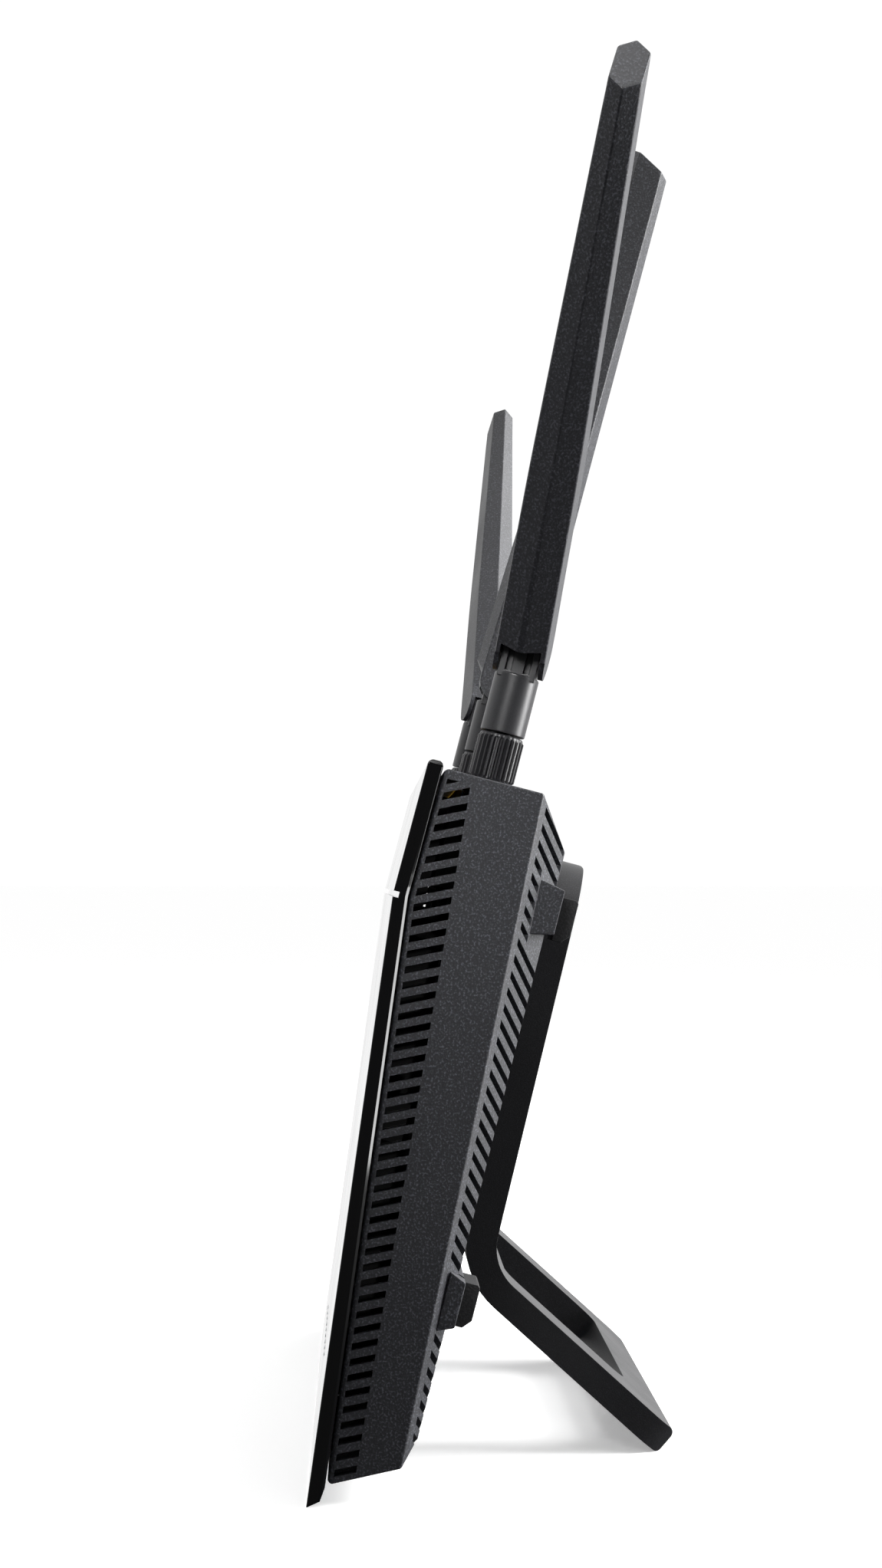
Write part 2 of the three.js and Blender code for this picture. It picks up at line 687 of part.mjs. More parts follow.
function resetButton() {
  const stem = rod(1.2, UNDER_WALL - 1, PORTS_TOP - 0.8, 12, RESET_X, SOCKET_Y);
  return join(stem, rod(2.2, UNDER_WALL - SKIRT.height, UNDER_WALL, 12, RESET_X, SOCKET_Y));
}
addMesh('reset_button', resetButton(), 'jack');
addMesh('reset_switch', switchBody(RESET_X, 4), 'chip');

// Antenna sockets and their leads.
function antennaConnector(x) {
  const inner = UNDER_WALL;
  return turned([[0, inner - 6], [1.6, inner - 6], [1.6, inner - 3], [5, inner - 3], [5, inner],
    [3, inner], [3, 152], [0, 152]], 16, x, ANTENNA_Y);
}

const SHIELD_FACE = COMPONENT_FACE - BOXY_PARTS.radio_shield_right.height;

function coaxLead(x, target) {
  const start = UNDER_WALL - 6 - GAP;
  const front = SHIELD_FACE - 1.5;
  const route = new THREE.CatmullRomCurve3([
    new THREE.Vector3(x, ANTENNA_Y, start),
    new THREE.Vector3(x, ANTENNA_Y, start - 6),
    new THREE.Vector3(target.x, front - 3, target.z + 14),
    new THREE.Vector3(target.x, front - 2, target.z + 4),
    new THREE.Vector3(target.x, target.y, target.z),
  ]);
  const section = new THREE.Shape().absarc(0, 0, 0.7, 0, Math.PI * 2);
  return solid(new THREE.ExtrudeGeometry(section, { steps: 10, curveSegments: 4, extrudePath: route }));
}

for (const [side, x] of Object.entries(ANTENNA_X)) {
  addMesh(`antenna_socket_${side}`, antennaConnector(x), 'gold');
  const onShield = { x: x * 0.93, y: SHIELD_FACE - 1, z: 96 };
  const byHeatSink = { x: 0, y: COMPONENT_FACE - 1, z: 101 };
  addMesh(`coax_lead_${side}`, coaxLead(x, side === 'centre' ? byHeatSink : onShield), 'wire');
}

// Antennas: knurled nut, swivel sleeve with its knuckle, hinge pin, blade and the radiator in it.

function knurledNut() {
  const teeth = 20;
  const outer = [];
  for (let index = 0; index < teeth * 2; index += 1) {
    const angle = index * Math.PI / teeth;
    const radius = index % 2 ? 4.35 : 4.8;
    outer.push([radius * Math.cos(angle), radius * Math.sin(angle)]);
  }
  const ring = prismZ(outer, 146.3, 155);
  return ring.subtract(rod(3.4, 146, 153.9, 12)).subtract(rod(2.4, 153, 156, 12));
}

function sleeve() {
  const base = 155.3;
  const top = 167.6;
  const barrel = turned([[0, 152.3], [3.1, 152.3], [3.1, 153.5], [2.1, 153.5], [2.1, base], [4.2, base],
    [4.6, base + 0.4], [4.6, top - 0.5], [4.1, top], [0, top]], 20);
  const neck = block(-3.6, 3.6, -3.9, 3.9, top - 1, PIVOT);
  const knuckle = rodAlongY(4, 0, -3.9, 3.9, PIVOT, 16);
  const bore = rodAlongY(1.5, 0, -5, 5, PIVOT, 10);
  const grooves = [-1.9, 1.9].map((y) => block(2.6, 6, y - 0.6, y + 0.6, top + 0.4, PIVOT + 6));
  return join(barrel, neck, knuckle).subtract(join(bore, ...grooves));
}

// Half sizes of the blade's section at a height above the pivot.
function bladeSection(height) {
  const share = THREE.MathUtils.clamp((height - 3) / (BLADE.top - 3), 0, 1);
  return {
    ridge: THREE.MathUtils.lerp(7.05, 4.85, share),
    flat: THREE.MathUtils.lerp(5, 3.1, share),
    thickness: THREE.MathUtils.lerp(5.85, 3, share),
    round: 1 - THREE.MathUtils.smoothstep(height, 0, 55),
  };
}

// The section is a hexagon with two ridges, drawn with 16 points so that it can round off low down.
const SECTION_POINTS = 16;

function bladePoint(index, height) {
  const { ridge, flat, thickness, round } = bladeSection(height);
  const quarter = SECTION_POINTS / 4;
  const step = index % quarter;
  const odd = Math.floor(index / quarter) % 2;
  const along = odd ? quarter - step : step; // 0 on the ridge, quarter at the middle of the flat
  const cornerStep = quarter / 2;
  const sharp = along <= cornerStep
    ? [ridge + (flat - ridge) * along / cornerStep, thickness * along / cornerStep]
    : [flat * (quarter - along) / (quarter - cornerStep), thickness];
  const angle = along / quarter * Math.PI / 2;
  const power = 0.62;
  const soft = [ridge * Math.cos(angle) ** power, thickness * Math.sin(angle) ** power];
  const signX = index > quarter && index < 3 * quarter ? -1 : 1;
  const signY = index > 2 * quarter ? -1 : 1;
  return [
    signX * THREE.MathUtils.lerp(sharp[0], soft[0], round),
    signY * THREE.MathUtils.lerp(sharp[1], soft[1], round),
  ];
}

function bladeBlank() {
  const ring = [];
  for (let index = 0; index < SECTION_POINTS; index += 1) {
    const angle = index / SECTION_POINTS * Math.PI * 2;
    ring.push([Math.cos(angle), Math.sin(angle)]);
  }
  const depth = BLADE.top - BLADE.bottom;
  const geometry = new THREE.ExtrudeGeometry(outline(ring), { depth, steps: 6, bevelEnabled: false });
  const position = geometry.attributes.position;
  for (let i = 0; i < position.count; i += 1) {
    const angle = Math.atan2(position.getY(i), position.getX(i));
    const turn = Math.round(angle / (Math.PI * 2) * SECTION_POINTS);
    const index = (turn + SECTION_POINTS) % SECTION_POINTS;
    const height = position.getZ(i) + BLADE.bottom;
    const [x, y] = bladePoint(index, height);
    const tip = position.getZ(i) > depth - 0.01 ? -BLADE.slant * x : 0;
    position.setXYZ(i, x, y, height + tip);
  }
  return solid(geometry);
}

// The blade folds towards +x. Its fork is open below and on that side.
function blade() {
  const end = 4.9;
  const side = prismY([[-9, 2], [-9, 140], [9, 140], [9, 4.5], [end + 0.4, 1.6], [end, -end, end - 0.05],
    [-end, -end, end - 0.05], [-end - 0.4, 1.6], [-7.6, 4.5]], -8, 8, 4);
  const fork = prismY([[-4.7, -9], [9, -9], [9, 4.9, 0], [-4.7, 4.9, 2.4]], -FORK_HALF, FORK_HALF, 4);
  const bore = rodAlongY(1.5, 0, -5, 5, 0, 10);
  const hollow = block(-2.7, 2.7, -0.7, 0.7, 3, 117);
  return bladeBlank().intersect(side).subtract(join(fork, bore, hollow));
}

const hingePin = rodAlongY(1.2, 0, -4.7, 4.7, 0, 12);
const radiator = block(-2.4, 2.4, -0.35, 0.35, 6, 114);

for (const [side, x] of Object.entries(ANTENNA_X)) {
  const pose = POSES[side];
  const swivel = new THREE.Group();
  swivel.position.set(x, ANTENNA_Y, 0);
  swivel.rotation.z = THREE.MathUtils.degToRad(pose.turn);
  body.add(swivel);
  addMesh(`antenna_nut_${side}`, knurledNut(), 'sleeve', swivel);
  addMesh(`antenna_sleeve_${side}`, sleeve(), 'sleeve', swivel);
  const hinge = new THREE.Group();
  hinge.position.z = PIVOT;
  swivel.add(hinge);
  addMesh(`hinge_pin_${side}`, hingePin, 'steel', hinge);
  const fold = new THREE.Group();
  fold.rotation.y = THREE.MathUtils.degToRad(pose.fold);
  hinge.add(fold);
  addMesh(`antenna_blade_${side}`, blade(), 'blade', fold);
  addMesh(`radiator_${side}`, radiator, 'copper', fold);
}

// Stand: back panel, bend and foot in one piece, with hooks that hold on to the case.

const SLOPE = THREE.MathUtils.degToRad(FOOT_SLOPE);
const LEAN_ANGLE = THREE.MathUtils.degToRad(LEAN);

function heightAboveGround(y, z) {
  return z * Math.cos(LEAN_ANGLE) - y * Math.sin(LEAN_ANGLE);
}

// Length of the foot's underside: its rounded toe is level with the cover's lower edge.
const FOOT_FALL = SLOPE + LEAN_ANGLE;
const TOE_RISE = FOOT_TOE * (Math.sin(FOOT_FALL) + Math.cos(FOOT_FALL) - 1);
const FOOT_LENGTH = (heightAboveGround(FOOT_START.y, FOOT_START.z)
  - heightAboveGround(COVER_FOOT.y, COVER_FOOT.z) + TOE_RISE) / Math.sin(FOOT_FALL);

// A point along the foot, and up from its underside.
function footPoint(along, up) {
  return [
    FOOT_START.y + along * Math.cos(SLOPE) + up * Math.sin(SLOPE),
    FOOT_START.z - along * Math.sin(SLOPE) + up * Math.cos(SLOPE),
  ];
}

function standPlate() {
  const { front, back, top } = PANEL;
  const inner = footPoint(0, FOOT_THICKNESS);
  return prismX([
    [front, top],
    [FOOT_START.y, FOOT_START.z, BEND_RADIUS],
    [...footPoint(FOOT_LENGTH, 0), FOOT_TOE],
    [...footPoint(FOOT_LENGTH, FOOT_THICKNESS), 2],
    [back, inner[1] - (back - inner[0]) * Math.tan(SLOPE), BEND_RADIUS - FOOT_THICKNESS],
    [back - 1.2, top, 1],
  ], -STAND_HALF_WIDTH, STAND_HALF_WIDTH, 5);
}

// A cutter that goes through the foot at right angles: corners are given across and along it.
function throughFoot(corners) {
  const geometry = extrude(outline(corners), 60, 4).translate(0, 0, -30);
  const across = new THREE.Vector3(1, 0, 0);
  const along = new THREE.Vector3(0, Math.cos(SLOPE), -Math.sin(SLOPE));
  const up = new THREE.Vector3().crossVectors(across, along);
  geometry.applyMatrix4(new THREE.Matrix4().makeBasis(across, along, up));
  return solid(geometry.translate(0, FOOT_START.y, FOOT_START.z));
}

function standHooks() {
  const hooks = [];
  const half = HOOK.width / 2;
  const wallInside = BACK - CASE_WALL;
  for (const z of HOOK_HEIGHTS) {
    for (const x of [HOOK.x, -HOOK.x]) {
      hooks.push(block(x - half, x + half, wallInside - 2.4, PANEL.front + 1, z, z + HOOK.neck));
      hooks.push(block(x - half, x + half, wallInside - 2.4, wallInside - GAP, z, z + HOOK.neck + HOOK.head));
    }
  }
  return hooks;
}

function stand() {
  const side = STAND_HALF_WIDTH;
  const far = FOOT_LENGTH;
  const panelShape = prismY([[-side, 30], [side, 30], [side, PANEL.top, 13], [-side, PANEL.top, 13]], 0, 30, 5);
  const footShape = throughFoot([[-side, -9], [side, -9], [side, far + 1.2, 9], [-side, far + 1.2, 9]]);
  const window = throughFoot(roundedBox(-STAND_WINDOW, STAND_WINDOW, 9.5, far - 13, 5));
  const plate = standPlate();
  const upper = plate.intersect(block(-80, 80, -20, 40, 44, 140)).intersect(panelShape);
  const lower = plate.subtract(block(-80, 80, -20, 40, 44, 140)).intersect(footShape);
  return join(upper, lower, ...standHooks()).subtract(window);
}
addMesh('stand', stand(), 'stand');

// Stand the router on the ground, with its box centred on the origin.
const box = new THREE.Box3().setFromObject(router, true);
router.position.set(-(box.min.x + box.max.x) / 2, -(box.min.y + box.max.y) / 2, -box.min.z);

export default router;
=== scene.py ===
"""A desktop wireless router with three folding antennas on a bent plate stand: its looks around the frame."""

import json
import math

import bmesh
import bpy
from mathutils import Matrix, Vector

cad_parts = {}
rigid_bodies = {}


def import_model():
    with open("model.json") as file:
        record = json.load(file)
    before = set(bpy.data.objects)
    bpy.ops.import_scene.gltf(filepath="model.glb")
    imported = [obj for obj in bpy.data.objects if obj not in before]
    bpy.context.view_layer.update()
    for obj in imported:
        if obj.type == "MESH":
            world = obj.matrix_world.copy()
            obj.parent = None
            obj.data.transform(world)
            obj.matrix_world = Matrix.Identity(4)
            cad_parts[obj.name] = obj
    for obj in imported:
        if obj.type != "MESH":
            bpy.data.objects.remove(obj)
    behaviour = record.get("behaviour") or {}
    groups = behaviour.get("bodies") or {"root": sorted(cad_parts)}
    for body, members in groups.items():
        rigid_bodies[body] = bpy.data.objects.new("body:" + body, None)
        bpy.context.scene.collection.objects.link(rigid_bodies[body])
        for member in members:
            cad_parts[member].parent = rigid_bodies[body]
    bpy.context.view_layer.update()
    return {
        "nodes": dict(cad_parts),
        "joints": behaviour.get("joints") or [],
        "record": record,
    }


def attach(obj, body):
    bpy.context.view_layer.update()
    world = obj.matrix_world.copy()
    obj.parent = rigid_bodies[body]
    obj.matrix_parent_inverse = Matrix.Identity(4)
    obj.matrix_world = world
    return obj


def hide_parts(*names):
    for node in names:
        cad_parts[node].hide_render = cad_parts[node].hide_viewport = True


# Blender's own first objects go before anything is made.
for leftover in list(bpy.data.objects):
    bpy.data.objects.remove(leftover)
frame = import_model()

NODES = frame["nodes"]
JOINTS = {joint["name"]: joint for joint in frame["joints"]}
SIDES = ("right", "centre", "left")
MM = 0.001


# ---------------------------------------------------------------- frames

# The body leans back; its upright axis is the axis that the antennas swivel about.
UPRIGHT = Vector(JOINTS["antenna_swivel_centre"]["axis"])
ACROSS = Vector((1, 0, 0))
BACKWARD = UPRIGHT.cross(ACROSS)


def axes_at(origin, x_axis, y_axis, z_axis):
    """A matrix from millimetres along those axes, at that origin, to the part's metres."""
    turn = Matrix((x_axis, y_axis, z_axis)).transposed().to_4x4()
    return Matrix.Translation(origin) @ turn @ Matrix.Scale(MM, 4)


def sleeve_frame(side):
    """Origin on the fold's pivot, z up the sleeve, and x towards the side that the blade folds to."""
    joint = JOINTS[f"antenna_fold_{side}"]
    fold_axis = Vector(joint["axis"]).normalized()
    return axes_at(Vector(joint["pos_m"]), fold_axis.cross(UPRIGHT), fold_axis, UPRIGHT)


def blade_frame(side):
    """The sleeve's frame, folded by the blade's angle at rest."""
    at_rest = math.radians(-JOINTS[f"antenna_fold_{side}"]["range_deg"][0])
    return sleeve_frame(side) @ Matrix.Rotation(at_rest, 4, "Y")


def body_frame(origin):
    return axes_at(origin, ACROSS, BACKWARD, UPRIGHT)


# ---------------------------------------------------------------- camera, light and floor

LENS = 60.79
CAMERA_PLACE = Vector((0.624765, -0.03035, 0.121251))
CAMERA_YAW = math.radians(1.66)
CAMERA_PITCH = math.radians(2.16)


def make_camera():
    data = bpy.data.cameras.new("camera")
    data.lens = LENS
    data.sensor_width = 36
    data.clip_start = 0.01
    camera = bpy.data.objects.new("camera", data)
    bpy.context.scene.collection.objects.link(camera)
    level = math.cos(CAMERA_PITCH)
    forward = Vector((-math.cos(CAMERA_YAW) * level, math.sin(CAMERA_YAW) * level, math.sin(CAMERA_PITCH)))
    camera.location = CAMERA_PLACE
    camera.rotation_mode = "QUATERNION"
    camera.rotation_quaternion = forward.to_track_quat("-Z", "Y")
    bpy.context.scene.camera = camera


def make_world():
    """White all round, darker on the side that the camera looks from, and dark well below the horizon."""
    world = bpy.data.worlds.new("studio")
    world.use_nodes = True
    bpy.context.scene.world = world
    nodes, links = world.node_tree.nodes, world.node_tree.links
    background = nodes["Background"]
    background.inputs["Color"].default_value = (1, 1, 1, 1)
    direction = nodes.new("ShaderNodeTexCoord")
    split = nodes.new("ShaderNodeSeparateXYZ")
    fade = nodes.new("ShaderNodeMapRange")
    fade.interpolation_type = "SMOOTHSTEP"
    fade.inputs["From Min"].default_value = -0.3
    fade.inputs["From Max"].default_value = 0.75
    fade.inputs["To Min"].default_value = 1.02
    fade.inputs["To Max"].default_value = 0.11
    ground = nodes.new("ShaderNodeMapRange")
    ground.inputs["From Min"].default_value = -0.32
    ground.inputs["From Max"].default_value = -0.24
    ground.inputs["To Min"].default_value = 0.1
    product = nodes.new("ShaderNodeMath")
    product.operation = "MULTIPLY"
    links.new(direction.outputs["Generated"], split.inputs["Vector"])
    links.new(split.outputs["X"], fade.inputs["Value"])
    links.new(split.outputs["Z"], ground.inputs["Value"])
    links.new(fade.outputs["Result"], product.inputs[0])
    links.new(ground.outputs["Result"], product.inputs[1])
    links.new(product.outputs["Value"], background.inputs["Strength"])


def area_light(name, place, target, size, power, spread=180):
    data = bpy.data.lights.new(name, "AREA")
    data.spread = math.radians(spread)
    data.shape = "RECTANGLE"
    data.size, data.size_y = size
    data.energy = power
    light = bpy.data.objects.new(name, data)
    bpy.context.scene.collection.objects.link(light)
    light.location = place
    light.visible_camera = False
    light.rotation_mode = "QUATERNION"
    light.rotation_quaternion = (Vector(target) - Vector(place)).to_track_quat("-Z", "Y")


def make_floor():
    reach = 150
    corners = [(-reach, -reach, 0), (reach, -reach, 0), (reach, reach, 0), (-reach, reach, 0)]
    mesh = bpy.data.meshes.new("floor")
    mesh.from_pydata(corners, [], [(0, 1, 2, 3)])
    floor = bpy.data.objects.new("floor", mesh)
    bpy.context.scene.collection.objects.link(floor)
    paint = bpy.data.materials.new("pale_floor")
    paint.use_nodes = True
    shader = paint.node_tree.nodes["Principled BSDF"]
    shader.inputs["Base Color"].default_value = (0.93, 0.93, 0.93, 1)
    shader.inputs["Roughness"].default_value = 0.9
    shader.inputs["Specular IOR Level"].default_value = 0.0
    shader.inputs["Emission Color"].default_value = (1, 1, 1, 1)
    shader.inputs["Emission Strength"].default_value = 0.35
    mesh.materials.append(paint)
    floor.visible_diffuse = False
    floor.visible_glossy = False


def make_backdrop():
    """A white dome that only the camera sees, so that every view has the same pale background."""
    bm = bmesh.new()
    bmesh.ops.create_uvsphere(bm, u_segments=48, v_segments=24, radius=140)
    mesh = bpy.data.meshes.new("backdrop")
    bm.to_mesh(mesh)
    bm.free()
    backdrop = bpy.data.objects.new("backdrop", mesh)
    bpy.context.scene.collection.objects.link(backdrop)
    paint = bpy.data.materials.new("white_backdrop")
    paint.use_nodes = True
    shader = paint.node_tree.nodes["Principled BSDF"]
    shader.inputs["Base Color"].default_value = (0, 0, 0, 1)
    shader.inputs["Specular IOR Level"].default_value = 0.0
    shader.inputs["Emission Color"].default_value = (1, 1, 1, 1)
    shader.inputs["Emission Strength"].default_value = 1.02
    mesh.materials.append(paint)
    backdrop.visible_diffuse = False
    backdrop.visible_glossy = False
    backdrop.visible_transmission = False
    backdrop.visible_shadow = False


make_camera()
make_world()
make_floor()
make_backdrop()
MIDDLE = (0, 0, 0.13)
area_light("key_from_behind", (-0.35, 0.75, 0.75), MIDDLE, (0.7, 0.5), 7)
area_light("soft_from_back_side", (0.1, 1.0, 0.35), MIDDLE, (0.5, 0.8), 26)
area_light("soft_overhead", (0.3, 0, 0.6), (0.1, 0, 0.2), (0.3, 0.3), 1.0)
area_light("low_strip_behind", (0.1, 0.5, 0.03), (0.1, 0, 0.1), (0.1, 0.2), 0.8)
area_light("fill_on_upper_side", (0.42, -0.1, 0.34), (0.1, 0, 0.165), (0.14, 0.14), 0.065, spread=36)
bpy.context.scene.view_settings.view_transform = "Standard"


# ---------------------------------------------------------------- materials


def blank_material(name):
    material = bpy.data.materials.new(name)
    material.use_nodes = True
    tree = material.node_tree
    return material, tree, tree.nodes["Principled BSDF"]


def texture_noise(tree, size, detail=2.0, stretch=None):
    """Noise whose features are about that size in metres, in the piece's own coordinates."""
    coords = tree.nodes.new("ShaderNodeTexCoord")
    source = coords.outputs["Object"]
    if stretch is not None:
        mapping = tree.nodes.new("ShaderNodeMapping")
        mapping.inputs["Scale"].default_value = stretch
        tree.links.new(source, mapping.inputs["Vector"])
        source = mapping.outputs["Vector"]
    noise = tree.nodes.new("ShaderNodeTexNoise")
    noise.inputs["Scale"].default_value = 1 / size
    noise.inputs["Detail"].default_value = detail
    tree.links.new(source, noise.inputs["Vector"])
    return noise.outputs["Fac"]


def ramp(tree, value, stops):
    """Grey or colour stops [(position, colour)] over a value."""
    node = tree.nodes.new("ShaderNodeValToRGB")
    elements = node.color_ramp.elements
    while len(elements) < len(stops):
        elements.new(0.5)
    for element, (position, colour) in zip(elements, stops):
        element.position = position
        element.color = (*colour, 1)
    tree.links.new(value, node.inputs["Fac"])
    return node.outputs["Color"]


def spread(tree, value, low, high):
    """A noise value's middle range, spread from low to high."""
    node = tree.nodes.new("ShaderNodeMapRange")
    node.inputs["From Min"].default_value = 0.3
    node.inputs["From Max"].default_value = 0.7
    node.inputs["To Min"].default_value = low
    node.inputs["To Max"].default_value = high
    tree.links.new(value, node.inputs["Value"])
    return node.outputs["Result"]


def add_bump(tree, shader, height, distance):
    node = tree.nodes.new("ShaderNodeBump")
    node.inputs["Distance"].default_value = distance
    tree.links.new(height, node.inputs["Height"])
    tree.links.new(node.outputs["Normal"], shader.inputs["Normal"])


def scaled(colour, factor):
    return tuple(min(1.0, channel * factor) for channel in colour)


def plastic(name, colour, roughness, grain, bump, painted_glint):
    """Moulded plastic: fine grain in the surface, pale specks in it that are painted glints, and slow patches
    of polish.
    """
    material, tree, shader = blank_material(name)
    mottle = 0.15
    fine = texture_noise(tree, grain)
    # The grain's two lower stops are the plastic's own mottled tone; the top stop paints glints into its
    # highest specks.
    tint = ramp(tree, fine, [
        (0.34, scaled(colour, 1 - mottle)),
        (0.54, scaled(colour, 1 + mottle)),
        (0.68, scaled(colour, 1 + mottle + painted_glint)),
    ])
    tree.links.new(tint, shader.inputs["Base Color"])
    patches = texture_noise(tree, 0.018, detail=4.0)
    tree.links.new(spread(tree, patches, roughness - 0.04, roughness + 0.05), shader.inputs["Roughness"])
    add_bump(tree, shader, fine, bump)
    return material


def socket_plastic_painted_shade(name, colour):
    """Coloured near the socket's mouth, with painted shade further in, where no light comes."""
    material, tree, shader = blank_material(name)
    coords = tree.nodes.new("ShaderNodeTexCoord")
    split = tree.nodes.new("ShaderNodeSeparateXYZ")
    tree.links.new(coords.outputs["Object"], split.inputs["Vector"])
    depth = tree.nodes.new("ShaderNodeMapRange")
    depth.inputs["From Min"].default_value = SOCKET_SHADE_DARKEST
    depth.inputs["From Max"].default_value = SOCKET_SHADE_ENDS
    tree.links.new(split.outputs["Z"], depth.inputs["Value"])
    # Painted shade: the base colour darkens deeper into the socket.
    shade = ramp(tree, depth.outputs["Result"], [(0.0, (0.006, 0.006, 0.006)), (1.0, colour)])
    tree.links.new(shade, shader.inputs["Base Color"])
    shader.inputs["Roughness"].default_value = 0.4
    return material


def gloss_plastic(name, colour):
    """Polished plastic: a clear top over black, with faint smears of handling."""
    material, tree, shader = blank_material(name)
    shader.inputs["Specular IOR Level"].default_value = 0.4
    smears = texture_noise(tree, 0.03, detail=5.0)
    tint = ramp(tree, smears, [(0.35, colour), (0.7, scaled(colour, 1.3))])
    tree.links.new(tint, shader.inputs["Base Color"])
    tree.links.new(spread(tree, smears, 0.045, 0.075), shader.inputs["Roughness"])
    return material


def metal(name, colour, roughness, grain, stretch=(1, 1, 1)):
    """Plated or brushed metal: fine lines across the stretch, and clouded tarnish."""
    material, tree, shader = blank_material(name)
    shader.inputs["Metallic"].default_value = 1.0
    fine = texture_noise(tree, grain, stretch=stretch)
    cloud = texture_noise(tree, 0.004, detail=5.0)
    tint = ramp(tree, cloud, [(0.3, scaled(colour, 0.82)), (0.7, colour)])
    tree.links.new(tint, shader.inputs["Base Color"])
    tree.links.new(spread(tree, fine, roughness - 0.06, roughness + 0.12), shader.inputs["Roughness"])
    add_bump(tree, shader, fine, 0.00002)
    return material


def circuit_board(name):
    """Green solder mask over tracks and pads."""
    material, tree, shader = blank_material(name)
    coords = tree.nodes.new("ShaderNodeTexCoord")
    tracks = tree.nodes.new("ShaderNodeTexBrick")
    tracks.inputs["Color1"].default_value = (0.012, 0.075, 0.035, 1)
    tracks.inputs["Color2"].default_value = (0.016, 0.095, 0.045, 1)
    tracks.inputs["Mortar"].default_value = (0.03, 0.15, 0.06, 1)
    tracks.inputs["Scale"].default_value = 260
    tracks.inputs["Mortar Size"].default_value = 0.03
    tree.links.new(coords.outputs["Object"], tracks.inputs["Vector"])
    tree.links.new(tracks.outputs["Color"], shader.inputs["Base Color"])
    add_bump(tree, shader, tracks.outputs["Fac"], 0.00003)
    shader.inputs["Roughness"].default_value = 0.35
    return material


def milky_lens(name):
    """Clouded plastic that passes some of the light."""
    material, tree, shader = blank_material(name)
    shader.inputs["Roughness"].default_value = 0.25
    shader.inputs["Transmission Weight"].default_value = 0.35
    shader.inputs["IOR"].default_value = 1.49
    cloud = texture_noise(tree, 0.002)
    tint = ramp(tree, cloud, [(0.3, (0.72, 0.76, 0.78)), (0.7, (0.85, 0.88, 0.9))])
    tree.links.new(tint, shader.inputs["Base Color"])
    return material


# Heights in metres, in the part's frame, between which the painted shade in the sockets fades from dark to
# the plastic's colour.
SOCKET_SHADE_DARKEST, SOCKET_SHADE_ENDS = 0.1385, 0.1402

LOOKS = {
    # The last number of each plastic is how bright the painted glints in its grain are.
    "case_black": plastic("case_plastic", (0.02, 0.0207, 0.0245), 0.5, 0.00042, 0.00007, painted_glint=3.0),
    "gloss_black": gloss_plastic("gloss_cover", (0.0018, 0.0018, 0.0021)),
    "blade_black": plastic("blade_plastic", (0.0185, 0.019, 0.0225), 0.48, 0.00045, 0.00007, painted_glint=2.2),
    "sleeve_black": plastic("sleeve_plastic", (0.018, 0.018, 0.02), 0.36, 0.0002, 0.00001, painted_glint=0.2),
    "stand_black": plastic("stand_plastic", (0.009, 0.009, 0.0105), 0.42, 0.00024, 0.00003, painted_glint=1.2),
    "rubber_black": plastic("foot_rubber", (0.014, 0.014, 0.015), 0.78, 0.0004, 0.00005, painted_glint=0.6),
    "button_black": plastic("button_plastic", (0.02, 0.02, 0.022), 0.42, 0.0002, 0.00001, painted_glint=0.2),
    "chip_black": plastic("chip_package", (0.012, 0.012, 0.013), 0.5, 0.0002, 0.00001, painted_glint=0.4),
    # The sockets' yellow and blue plastic carries painted shade deeper in.
    "lan_yellow": socket_plastic_painted_shade("lan_plastic_painted_shade", (0.72, 0.4, 0.02)),
    "wan_blue": socket_plastic_painted_shade("wan_plastic_painted_shade", (0.02, 0.1, 0.42)),
    "lead_grey": plastic("lead_jacket", (0.05, 0.05, 0.055), 0.5, 0.0005, 0.00002, painted_glint=0.2),
    "shield_steel": metal("plated_steel", (0.62, 0.63, 0.65), 0.28, 0.0004, stretch=(1, 1, 14)),
    "pin_steel": metal("pin_steel", (0.55, 0.55, 0.57), 0.3, 0.0003),
    "connector_nickel": metal("nickel_plate", (0.72, 0.7, 0.66), 0.2, 0.0006),
    "radiator_copper": metal("copper_strip", (0.75, 0.38, 0.2), 0.3, 0.0004, stretch=(1, 12, 1)),
    "heat_sink_aluminium": metal("raw_aluminium", (0.7, 0.71, 0.73), 0.38, 0.0003, stretch=(1, 10, 1)),
    "board_green": circuit_board("solder_mask"),
    "lens": milky_lens("light_guide_lens"),
}
SLOT_OF = {row["node"]: row["material_slot"] for row in frame["record"]["subparts"]}


def wear(obj, slot_name):
    """Gives obj the look of that material slot of the record, and no other."""
    obj.data.materials.clear()
    obj.data.materials.append(LOOKS[slot_name])


# ---------------------------------------------------------------- mesh tools

# Shapes are drawn in millimetres in the upright body: x across, y from front to back, z up.
# A prism along X has its outline in (y, z), along Y in (x, z) and along Z in (x, y).
PLACES = {
    "X": lambda u, v, w: (w, u, v),
    "Y": lambda u, v, w: (u, w, v),
    "Z": lambda u, v, w: (u, v, w),
}

# Degrees from which an edge is bevelled, and from which its shading breaks.
SHARP_FROM, SHADING_BREAK = 28, 30


